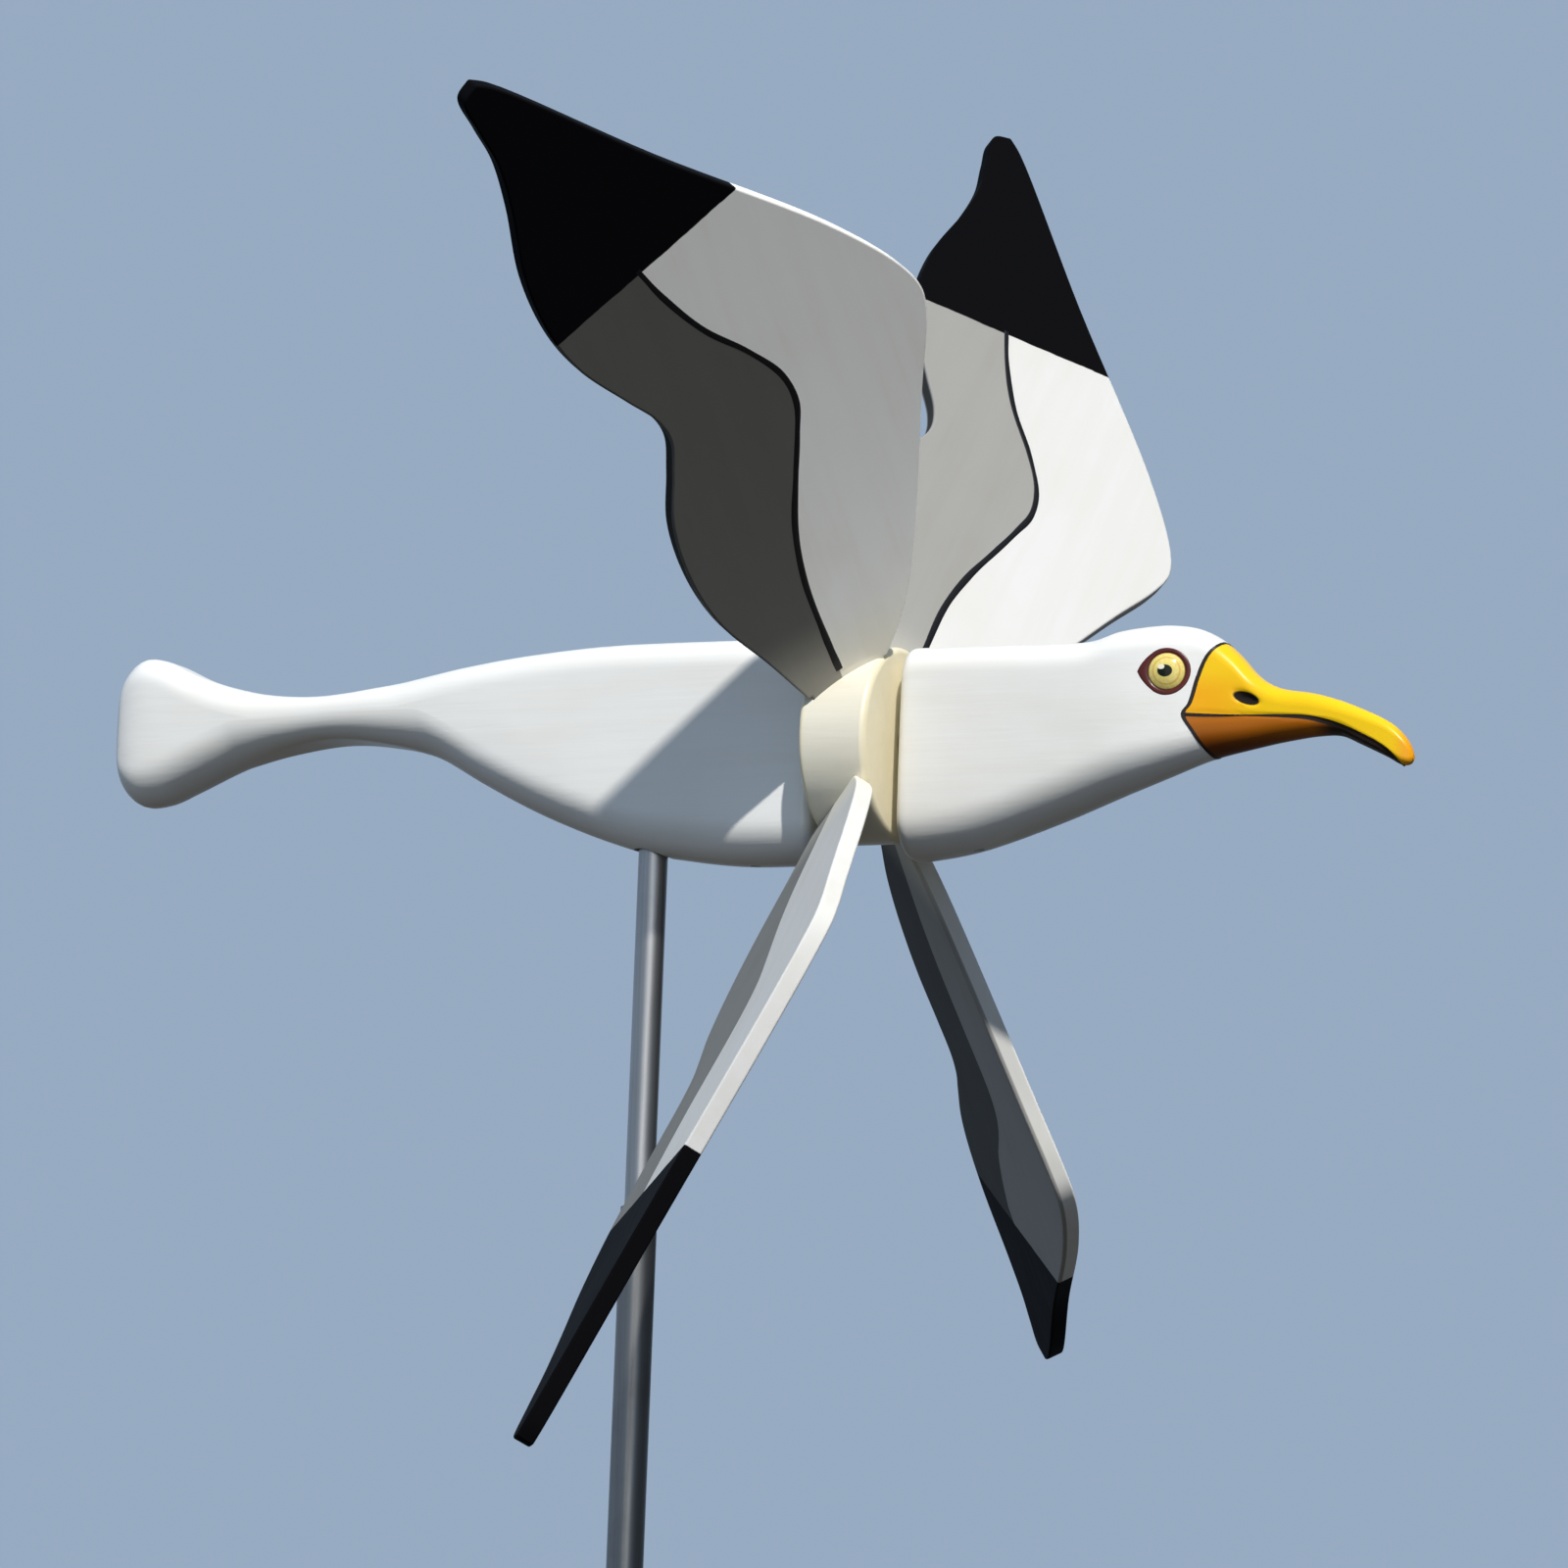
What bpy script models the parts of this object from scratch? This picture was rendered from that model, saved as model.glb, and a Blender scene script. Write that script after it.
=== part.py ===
"""Painted wooden seagull whirligig on a steel mast.

Metres, +Z up, +X toward the bill.  The origin is the middle of the mast's foot.
The mast carries a two-part gull body that swivels about the mast.  A hub with
four wing blades turns between the two halves of the body, on a fixed steel axle
that lies along X.  Every list of points below is in millimetres and is turned
into metres by MM.
"""
import math

import bmesh
import bpy
from mathutils import Matrix, Vector

MM = 0.001
FIT_GAP = 0.3 * MM            # gap between pieces that touch
CUT_EXTRA = 5 * MM            # how far an open-ended cutter runs past a surface

# Driving dimensions
AXLE_HEIGHT = 740 * MM        # rotor axle above the mast's foot
PIVOT_TO_HUB = 101 * MM       # swivel axis to the hub's middle, along X
HUB_RADIUS = 42 * MM
HUB_LENGTH = 31 * MM
HUB_EASE = 1.5 * MM
ROD_EASE = 1.2 * MM
SMALL_EASE = 0.6 * MM         # on the axle, the pins and the screw head
AXLE_RADIUS = 3.175 * MM      # quarter-inch rod
AXLE_LENGTH = 150 * MM
ROD_RADIUS = 6.35 * MM        # half-inch pivot rod
TUBE_RADIUS = 7.94 * MM       # five-eighths-inch tube
TUBE_WALL = 1.2 * MM
TUBE_TOP = AXLE_HEIGHT - 196 * MM
ROD_IN_TUBE = 110 * MM        # length of pivot rod held inside the tube
ROD_TOP = AXLE_HEIGHT + 22 * MM
FOOT_FLANGE = 3 * MM
FOOT_STEM = 22 * MM

# Rotor
WING_COUNT = 4
WING_THICKNESS = 8 * MM
# Setting of each wing, in degrees; the joint of the third is cut a little askew
WING_PITCHES = (46.5, 46.5, 50.2, 46.5)       # chord turned out of the axle's direction
WING_PHASES = (41.2, 131.2, 223.2, 311.2)     # upward from the horizontal on the gull's right
WING_ROOT = 28 * MM                   # root edge, inside the hub
WING_TONGUE_HALF_CHORD = 18 * MM
WING_SHOULDER = 40.5 * MM             # where the wing leaves the hub and widens
WING_EDGE_ROUND = 2 * MM
WING_SCREW_RADIUS = 34 * MM           # distance of a wing screw from the axle
SCREW_SHANK_RADIUS = 1.5 * MM
SCREW_HEAD_RADIUS = 3.2 * MM
SCREW_HEAD_DEPTH = 2 * MM
SCREW_RECESS = 0.2 * MM               # head below the hub's rear face
SCREW_LENGTH = 25 * MM
SCREW_TIP = 4 * MM

# Axle locks: steel pins driven up through the belly, before and behind the hub
PIN_RADIUS = 2 * MM
PIN_OFFSET = 52 * MM
FRONT_PIN_BOTTOM = -44.5 * MM
REAR_PIN_BOTTOM = -48.5 * MM
BELLY_CUT = -70 * MM

# Clamping screw in the tube, on the side away from the gull's right cheek
THUMB_SHANK_RADIUS = 2 * MM
THUMB_HEAD_RADIUS = 5 * MM
THUMB_HEAD_LENGTH = 5 * MM
THUMB_DROP = 14 * MM          # below the tube's top
THUMB_TURN = math.radians(24) # turned from +Y toward the tail

# Bearings and washers
NYLON_THICKNESS = 2.1 * MM
NYLON_RADIUS = 7.5 * MM
STEEL_THICKNESS = 1.4 * MM
REAR_WASHER_RADIUS = 8 * MM
FRONT_WASHER_RADIUS = 6.2 * MM
BUSHING_RADIUS = 4.8 * MM
BUSHING_FLANGE_RADIUS = 7 * MM
BUSHING_FLANGE = 1.2 * MM
BUSHING_LENGTH = 14 * MM
BUSHING_SINK = 0.1 * MM       # flange below the hub's face
SLEEVE_RADIUS = 8.2 * MM
SLEEVE_BOTTOM = AXLE_HEIGHT - 36 * MM
PIVOT_DISC = 3 * MM

# Leading edge of a wing, root to tip, as (span, chord)
WING_FRONT_EDGE = (
    (40.5, 20), (58, 34.5), (90, 50.5), (150, 74), (178, 85.5), (192, 88.5),
    (206, 84.5), (240, 62), (310, 1), (377, -54), (383, -61.5),
)
# Trailing edge, tip to root
WING_REAR_EDGE = (
    (383, -61.5), (378, -68.5), (362, -67), (345, -64.5), (322, -66), (290, -71),
    (262, -69.5), (240, -63), (215, -48.5), (200, -39.5), (188, -37), (172, -41.5),
    (150, -49), (122, -50), (95, -44.5), (66, -31), (40.5, -20),
)

# Body outline, seen from the side, as (X from the hub's middle, Z from the axle)
REAR_TOP = (
    (-361, 36), (-358, 45), (-350, 50.5), (-340, 49.5), (-322, 41.5), (-303, 35.3),
    (-280, 31), (-258, 30), (-232, 33), (-193, 40), (-157, 44.8), (-121, 47.2),
    (-71, 47.2), (-20, 45.5),
)
REAR_BOTTOM = (
    (-361, -1), (-358.5, -8.5), (-351, -14.5), (-340, -14), (-327, -9), (-303, 1),
    (-279, 8), (-255, 11), (-232, 8.8), (-206, 2.2), (-181, -11.4), (-157, -23.5),
    (-134, -33.2), (-104, -43), (-86, -46.4), (-60, -49.6), (-20, -50.5),
)
FRONT_TOP = (
    (20, 40.5), (60, 40), (95, 39.5), (106, 40.3), (117, 43.8), (129, 45.6), (140, 46.1),
    (151, 44.4), (160, 40.2), (168, 33.6), (178, 23.2), (188, 18), (205, 14.8), (222, 9),
    (237.5, 1.2), (244, -5), (247.5, -11.5),
)
FRONT_BOTTOM = (
    (20, -50.5), (33, -49.6), (55, -45.8), (88, -35.4), (111, -26.8), (134, -18.8),
    (156, -11.2), (172, -7.8), (190, -4.6), (206, -2.9), (215, -3.2), (224, -7),
    (236, -12.8), (243, -16.4), (247.5, -14.5),
)
REAR_HALF_WIDTH = ((-361, 15), (-356, 17), (-340, 18), (-300, 18.5), (-200, 19), (-20, 19))
FRONT_HALF_WIDTH = (
    (20, 19), (105, 19), (122, 18), (143, 14.5), (157, 11.5), (172, 9.5), (205, 7.8),
    (230, 5.5), (247.5, 2.5),
)
SIDE_ROUND = 12               # largest rounding of the body's long edges
END_EASE = 3                  # easing of the two faces beside the hub
BODY_FACE = 20                # distance of those faces from the hub's middle

# Joint between head and bill, top to bottom
BILL_BASE = ((166, 41), (158, 31), (154.5, 22), (151.5, 11), (148.8, 6.5), (153, -1), (162, -15))
BILL_REACH = 260              # beyond the tip of the bill
BILL_GAP = 0.45               # between bill and head

EYE_PLACE = (141.5, 14.9, 24.6)        # X, half-width there, Z
EYE_TURN = math.radians(14)           # eyes look slightly forward, as the head narrows
EYE_RADIUS = 8 * MM
EYE_DOME = 3.2 * MM
EYE_SEAT = 3 * MM

# Dowel between head and bill: its middle (X, Y, Z from the hub's middle) and size
DOWEL_PLACE = (153, 0, 9)
DOWEL_RADIUS = 3 * MM
DOWEL_LENGTH = 34 * MM

HUB_CENTRE = Vector((PIVOT_TO_HUB, 0, AXLE_HEIGHT))
TO_X = Matrix.Rotation(math.pi / 2, 4, "Y")           # local Z onto +X
TO_MINUS_X = Matrix.Rotation(-math.pi / 2, 4, "Y")    # local Z onto -X


# ---------------------------------------------------------------- helpers

def clear_scene():
    for obj in list(bpy.data.objects):
        bpy.data.objects.remove(obj, do_unlink=True)


def paint(name, rgb, roughness, metallic=0.0):
    mat = bpy.data.materials.new(name)
    mat.use_nodes = True
    shader = mat.node_tree.nodes["Principled BSDF"]
    shader.inputs["Base Color"].default_value = (*rgb, 1.0)
    shader.inputs["Roughness"].default_value = roughness
    shader.inputs["Metallic"].default_value = metallic
    return mat


def pivot(name, location, parent=None):
    """An empty on a joint's axis; `location` is in world space."""
    obj = bpy.data.objects.new(name, None)
    bpy.context.scene.collection.objects.link(obj)
    base = parent.matrix_world.translation if parent else Vector()
    obj.parent = parent
    obj.location = Vector(location) - base
    bpy.context.view_layer.update()
    return obj


def piece(name, bm, mat, parent, matrix):
    """Make an object from a bmesh; `matrix` is its place relative to its parent."""
    bmesh.ops.remove_doubles(bm, verts=bm.verts, dist=1e-7)
    bmesh.ops.recalc_face_normals(bm, faces=bm.faces)
    mesh = bpy.data.meshes.new(name)
    bm.to_mesh(mesh)
    bm.free()
    obj = bpy.data.objects.new(name, mesh)
    bpy.context.scene.collection.objects.link(obj)
    obj.parent = parent
    obj.matrix_local = matrix
    if mat is not None:
        mesh.materials.append(mat)
        mesh.shade_smooth()
        mesh.set_sharp_from_angle(angle=math.radians(35))
    return obj


def cut(target, tools, operation="DIFFERENCE"):
    for tool in tools:
        tool.hide_render = True
        tool.display_type = "WIRE"
        boolean = target.modifiers.new(tool.name, "BOOLEAN")
        boolean.operation = operation
        boolean.object = tool
        boolean.solver = "EXACT"


def turned(points, steps=24, ring=False):
    """Turn (radius, height) points about local Z; `ring` closes the profile."""
    bm = bmesh.new()
    verts = [bm.verts.new((radius, 0, height)) for radius, height in points]
    pairs = list(zip(verts, verts[1:]))
    if ring:
        pairs.append((verts[-1], verts[0]))
    edges = [bm.edges.new(pair) for pair in pairs]
    bmesh.ops.spin(
        bm, geom=verts + edges, cent=(0, 0, 0), axis=(0, 0, 1),
        angle=2 * math.pi, steps=steps, use_merge=True,
    )
    return bm


def rod(radius, bottom, top, chamfer=0.0, steps=24):
    return turned((
        (0, bottom), (radius - chamfer, bottom), (radius, bottom + chamfer),
        (radius, top - chamfer), (radius - chamfer, top), (0, top),
    ), steps)


def plain_rod(radius, bottom, top, steps=24):
    return turned(((0, bottom), (radius, bottom), (radius, top), (0, top)), steps)


def pipe(inner, outer, bottom, top, steps=24):
    return turned(((inner, bottom), (outer, bottom), (outer, top), (inner, top)), steps, ring=True)


def prism(outline, direction):
    """Extrude a closed outline of vectors along `direction`."""
    bm = bmesh.new()
    face = bm.faces.new([bm.verts.new(point) for point in outline])
    extruded = bmesh.ops.extrude_face_region(bm, geom=[face])
    moved = [item for item in extruded["geom"] if isinstance(item, bmesh.types.BMVert)]
    bmesh.ops.translate(bm, vec=direction, verts=moved)
    return bm


def curve_through(points, samples):
    """A smooth (centripetal Catmull-Rom) curve through points, `samples` per span."""
    pts = [Vector(point) for point in points]
    pts = [2 * pts[0] - pts[1]] + pts + [2 * pts[-1] - pts[-2]]
    curve = []
    for p0, p1, p2, p3 in zip(pts, pts[1:], pts[2:], pts[3:]):
        t1 = math.sqrt((p1 - p0).length)
        t2 = t1 + math.sqrt((p2 - p1).length)
        t3 = t2 + math.sqrt((p3 - p2).length)
        for index in range(samples):
            t = t1 + (t2 - t1) * index / samples
            a1 = p0.lerp(p1, t / t1)
            a2 = p1.lerp(p2, (t - t1) / (t2 - t1))
            a3 = p2.lerp(p3, (t - t2) / (t3 - t2))
            b1 = a1.lerp(a2, t / t2)
            b2 = a2.lerp(a3, (t - t1) / (t3 - t1))
            curve.append(b1.lerp(b2, (t - t1) / (t2 - t1)))
    curve.append(pts[-2])
    return curve


def height_at(line, x):
    """Read a side-view line, given as points in order of X, at one X."""
    for near, far in zip(line, line[1:]):
        if x <= far[0]:
            share = (x - near[0]) / (far[0] - near[0])
            return near[1] + share * (far[1] - near[1])
    return line[-1][1]


# ---------------------------------------------------------------- body

def body_section(x, low, high, half_width, inset, corner_steps=4):
    """One cross-section of the body: a rectangle with rounded corners."""
    low, high, half_width = low + inset, high - inset, half_width - inset
    radius = min(SIDE_ROUND, 0.85 * half_width, 0.46 * (high - low))
    centres = (
        (half_width - radius, high - radius, 0), (radius - half_width, high - radius, 90),
        (radius - half_width, low + radius, 180), (half_width - radius, low + radius, 270),
    )
    ring = []
    for centre_y, centre_z, start in centres:
        for step in range(corner_steps + 1):
            angle = math.radians(start + 90 * step / corner_steps)
            y = centre_y + radius * math.cos(angle)
            z = centre_z + radius * math.sin(angle)
            ring.append(Vector((x, y, z)) * MM)
    return ring


def body_loft(stations, top, bottom, width, eased_face):
    """Skin the body's sections; the face beside the hub is eased at its rim."""
    top_curve = curve_through(top, 6)
    bottom_curve = curve_through(bottom, 6)
    width_curve = curve_through(width, 4)
    bm = bmesh.new()
    rings = []
    for x in stations:
        inset = END_EASE if x == eased_face else 0
        section = body_section(
            x, height_at(bottom_curve, x), height_at(top_curve, x), height_at(width_curve, x), inset,
        )
        rings.append([bm.verts.new(point) for point in section])
    for ring, following in zip(rings, rings[1:]):
        for index in range(len(ring)):
            after = (index + 1) % len(ring)
            bm.faces.new((ring[index], ring[after], following[after], following[index]))
    bm.faces.new(rings[0])
    bm.faces.new(rings[-1])
    return bm


def stations_along(line_a, line_b, spacing):
    """X stations at every outline point, with long spans divided."""
    marks = sorted({float(x) for x, _ in (*line_a, *line_b)})
    kept = [marks[0]]
    for mark in marks[1:]:
        if mark - kept[-1] < 2.5 and mark != marks[-1]:
            continue
        parts = max(1, math.ceil((mark - kept[-1]) / spacing))
        start = kept[-1]
        kept.extend(start + (mark - start) * part / parts for part in range(1, parts + 1))
    return kept


def rear_body(bird, mat):
    stations = stations_along(REAR_TOP, REAR_BOTTOM, 22)
    stations.insert(-1, -BODY_FACE - END_EASE)
    bm = body_loft(stations, REAR_TOP, REAR_BOTTOM, REAR_HALF_WIDTH, -BODY_FACE)
    body = piece("rear_body", bm, mat, bird, Matrix.Translation(hub_offset()))
    sleeve_hole = plain_rod(
        SLEEVE_RADIUS + FIT_GAP, BELLY_CUT, ROD_TOP + PIVOT_DISC + 4 * FIT_GAP - AXLE_HEIGHT, 32,
    )
    half_axle = AXLE_LENGTH / 2
    axle_hole = plain_rod(AXLE_RADIUS + FIT_GAP, BODY_FACE * MM - CUT_EXTRA, half_axle + FIT_GAP)
    pin_hole = plain_rod(PIN_RADIUS + FIT_GAP, BELLY_CUT, -AXLE_RADIUS / 2)
    cut(body, (
        piece("rear_body_sleeve_hole", sleeve_hole, None, bird, Matrix()),
        piece("rear_body_axle_hole", axle_hole, None, bird, Matrix.Translation(hub_offset()) @ TO_MINUS_X),
        piece("rear_body_pin_hole", pin_hole, None, bird, pin_place(-PIN_OFFSET)),
    ))
    return body


def front_loft():
    stations = stations_along(FRONT_TOP, FRONT_BOTTOM, 18)
    stations.insert(1, BODY_FACE + END_EASE)
    return body_loft(stations, FRONT_TOP, FRONT_BOTTOM, FRONT_HALF_WIDTH, BODY_FACE)


def bill_zone(shift):
    """The side-view region of the bill, as a prism across the whole width."""
    edge = [(point.x + shift, point.y) for point in curve_through(BILL_BASE, 3)]
    outline = edge + [(BILL_REACH, edge[-1][1] - 20), (BILL_REACH, edge[0][1] + 20)]
    half = 30
    points = [Vector((x, -half, z)) * MM for x, z in outline]
    return prism(points, Vector((0, 2 * half, 0)) * MM)


def front_body(bird, mat):
    place = Matrix.Translation(hub_offset())
    body = piece("front_body", front_loft(), mat, bird, place)
    half_axle = AXLE_LENGTH / 2
    axle_hole = plain_rod(AXLE_RADIUS + FIT_GAP, BODY_FACE * MM - CUT_EXTRA, half_axle + FIT_GAP)
    pin_hole = plain_rod(PIN_RADIUS + FIT_GAP, BELLY_CUT, -AXLE_RADIUS / 2)
    tools = [
        piece("head_bill_zone", bill_zone(0), None, bird, place),
        piece("front_body_axle_hole", axle_hole, None, bird, place @ TO_X),
        piece("front_body_pin_hole", pin_hole, None, bird, pin_place(PIN_OFFSET)),
        piece("head_dowel_hole", dowel_shape(FIT_GAP), None, bird, dowel_place()),
    ]
    for side in (-1, 1):
        seat = plain_rod(EYE_RADIUS + FIT_GAP, -EYE_SEAT - FIT_GAP, 20 * MM, 32)
        tools.append(piece("eye_seat_cutter", seat, None, bird, eye_place(side)))
    cut(body, tools)
    return body


def bill(bird, mat):
    place = Matrix.Translation(hub_offset())
    body = piece("bill", front_loft(), mat, bird, place)
    cut(body, [piece("bill_zone", bill_zone(BILL_GAP), None, bird, place)], "INTERSECT")
    cut(body, [piece("bill_dowel_hole", dowel_shape(FIT_GAP), None, bird, dowel_place())])
    return body


def dowel_shape(extra):
    half = DOWEL_LENGTH / 2 + extra
    return plain_rod(DOWEL_RADIUS + extra, -half, half, 16)


def dowel_place():
    return Matrix.Translation(hub_offset() + Vector(DOWEL_PLACE) * MM) @ TO_X


def eye_place(side):
    x, half_width, z = EYE_PLACE
    outward = Matrix.Rotation(-side * math.pi / 2, 4, "X")
    turn = Matrix.Rotation(-side * EYE_TURN, 4, "Z")
    return Matrix.Translation(hub_offset() + Vector((x, side * half_width, z)) * MM) @ turn @ outward


def eye(name, side, bird, mat):
    dome_radius = (EYE_RADIUS ** 2 + EYE_DOME ** 2) / (2 * EYE_DOME)
    dome_angle = math.asin(EYE_RADIUS / dome_radius)
    profile = [(0, -EYE_SEAT), (EYE_RADIUS, -EYE_SEAT)]
    for step in range(7):
        angle = dome_angle * (1 - step / 6)
        height = EYE_DOME + dome_radius * (math.cos(angle) - 1)
        profile.append((dome_radius * math.sin(angle), height))
    return piece(name, turned(profile, 24), mat, bird, eye_place(side))


# ---------------------------------------------------------------- axle and bearings

def hub_offset():
    """The hub's middle as seen from the swivel's empty."""
    return Vector((PIVOT_TO_HUB, 0, 0))


def pin_place(offset):
    return Matrix.Translation(hub_offset() + Vector((offset, 0, 0)))


def axle(bird, mat):
    half = AXLE_LENGTH / 2
    bm = rod(AXLE_RADIUS, -half, half, SMALL_EASE)
    return piece("axle", bm, mat, bird, Matrix.Translation(hub_offset()) @ TO_X)


def axle_pin(name, offset, bottom, bird, mat):
    bm = rod(PIN_RADIUS, bottom, -AXLE_RADIUS - FIT_GAP, SMALL_EASE, 16)
    return piece(name, bm, mat, bird, pin_place(offset))


def washers(bird, steel, nylon):
    nylon_start = HUB_LENGTH / 2 + FIT_GAP
    steel_start = nylon_start + NYLON_THICKNESS + FIT_GAP
    front_start = BODY_FACE * MM - FIT_GAP - STEEL_THICKNESS
    rows = (
        ("rear_nylon_washer", nylon_start, NYLON_THICKNESS, NYLON_RADIUS, nylon, TO_MINUS_X),
        ("rear_steel_washer", steel_start, STEEL_THICKNESS, REAR_WASHER_RADIUS, steel, TO_MINUS_X),
        ("front_steel_washer", front_start, STEEL_THICKNESS, FRONT_WASHER_RADIUS, steel, TO_X),
    )
    for name, start, thickness, radius, mat, direction in rows:
        bm = pipe(AXLE_RADIUS + FIT_GAP, radius, start, start + thickness, 28)
        piece(name, bm, mat, bird, Matrix.Translation(hub_offset()) @ direction)


def pivot_bearing(bird, brass, steel):
    sleeve = pipe(
        ROD_RADIUS + FIT_GAP, SLEEVE_RADIUS, SLEEVE_BOTTOM - AXLE_HEIGHT, ROD_TOP - AXLE_HEIGHT, 32,
    )
    piece("pivot_sleeve", sleeve, brass, bird, Matrix())
    disc_bottom = ROD_TOP + FIT_GAP - AXLE_HEIGHT
    disc = rod(SLEEVE_RADIUS, disc_bottom, disc_bottom + PIVOT_DISC, SMALL_EASE, 32)
    piece("pivot_disc", disc, steel, bird, Matrix())


# ---------------------------------------------------------------- mast

def mast_tube(mast, mat):
    inner = TUBE_RADIUS - TUBE_WALL
    bm = pipe(inner, TUBE_RADIUS, FOOT_FLANGE + FIT_GAP, TUBE_TOP, 32)
    tube = piece("mast_tube", bm, mat, mast, Matrix())
    hole = plain_rod(THUMB_SHANK_RADIUS + FIT_GAP, ROD_RADIUS / 2, 2 * TUBE_RADIUS, 16)
    cut(tube, [piece("mast_tube_screw_hole", hole, None, mast, thumb_place())])
    return tube


def mast_foot(mast, mat):
    stem = TUBE_RADIUS - TUBE_WALL - FIT_GAP
    top = FOOT_FLANGE + FOOT_STEM
    bm = turned((
        (0, 0), (TUBE_RADIUS, 0), (TUBE_RADIUS, FOOT_FLANGE), (stem, FOOT_FLANGE),
        (stem, top - ROD_EASE), (stem - ROD_EASE, top), (0, top),
    ), 32)
    return piece("mast_foot_plug", bm, mat, mast, Matrix())


def pivot_rod(mast, mat):
    bm = rod(ROD_RADIUS, TUBE_TOP - ROD_IN_TUBE, ROD_TOP, ROD_EASE, 32)
    return piece("pivot_rod", bm, mat, mast, Matrix())


def thumb_place():
    """The clamping screw stands on the left side of the tube, near its top."""
    turn = Matrix.Rotation(THUMB_TURN, 4, "Z") @ Matrix.Rotation(-math.pi / 2, 4, "X")
    return Matrix.Translation((0, 0, TUBE_TOP - THUMB_DROP)) @ turn


def thumb_screw(mast, mat):
    start = ROD_RADIUS + FIT_GAP
    head = TUBE_RADIUS + 2 * FIT_GAP
    end = head + THUMB_HEAD_LENGTH
    eased_radius = THUMB_HEAD_RADIUS - SMALL_EASE
    bm = turned((
        (0, start), (THUMB_SHANK_RADIUS, start), (THUMB_SHANK_RADIUS, head), (eased_radius, head),
        (THUMB_HEAD_RADIUS, head + SMALL_EASE), (THUMB_HEAD_RADIUS, end - SMALL_EASE),
        (eased_radius, end), (0, end),
    ), 20)
    return piece("mast_thumb_screw", bm, mat, mast, thumb_place())


# ---------------------------------------------------------------- rotor

def wing_direction(index):
    phase = math.radians(WING_PHASES[index])
    return Vector((0, -math.cos(phase), math.sin(phase)))


def wing_frame(index):
    """Place of a wing in the rotor: local X chord, local Y span, local Z its front face."""
    pitch = math.radians(WING_PITCHES[index])
    phase = math.radians(WING_PHASES[index])
    span = wing_direction(index)
    around = Vector((0, math.sin(phase), math.cos(phase)))
    chord = math.cos(pitch) * Vector((1, 0, 0)) + math.sin(pitch) * around
    front = chord.cross(span)
    return Matrix((chord, span, front)).transposed().to_4x4()


def screw_frame(index):
    """Place of a wing screw: local Z runs forward from the hub's rear face."""
    rear_face = Vector((-HUB_LENGTH / 2, 0, 0))
    return Matrix.Translation(wing_direction(index) * WING_SCREW_RADIUS + rear_face) @ TO_X


def wing_outline():
    front = [Vector((chord, span, 0)) * MM for span, chord in curve_through(WING_FRONT_EDGE, 3)]
    rear = [Vector((chord, span, 0)) * MM for span, chord in curve_through(WING_REAR_EDGE, 3)]
    tongue = [
        Vector((-WING_TONGUE_HALF_CHORD, WING_SHOULDER, 0)),
        Vector((-WING_TONGUE_HALF_CHORD, WING_ROOT, 0)),
        Vector((WING_TONGUE_HALF_CHORD, WING_ROOT, 0)),
        Vector((WING_TONGUE_HALF_CHORD, WING_SHOULDER, 0)),
    ]
    return front[:-1] + rear + tongue


def wing_mesh():
    half = Vector((0, 0, WING_THICKNESS / 2))
    return prism([point - half for point in wing_outline()], 2 * half)


def wing(index, rotor, mat):
    obj = piece(f"wing_{index + 1}", wing_mesh(), mat, rotor, wing_frame(index))
    rounding = obj.modifiers.new("edge", "BEVEL")
    rounding.width = WING_EDGE_ROUND
    rounding.segments = 1
    rounding.limit_method = "ANGLE"
    rounding.angle_limit = math.radians(60)
    hole = plain_rod(SCREW_SHANK_RADIUS + FIT_GAP, -CUT_EXTRA, SCREW_LENGTH + CUT_EXTRA, 12)
    cut(obj, [piece(f"wing_{index + 1}_screw_hole", hole, None, rotor, screw_frame(index))])
    return obj


def wing_screw(index, rotor, mat):
    bm = turned((
        (0, SCREW_RECESS), (SCREW_HEAD_RADIUS, SCREW_RECESS),
        (SCREW_SHANK_RADIUS, SCREW_RECESS + SCREW_HEAD_DEPTH),
        (SCREW_SHANK_RADIUS, SCREW_LENGTH - SCREW_TIP), (0, SCREW_LENGTH),
    ), 16)
    return piece(f"wing_screw_{index + 1}", bm, mat, rotor, screw_frame(index))


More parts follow.
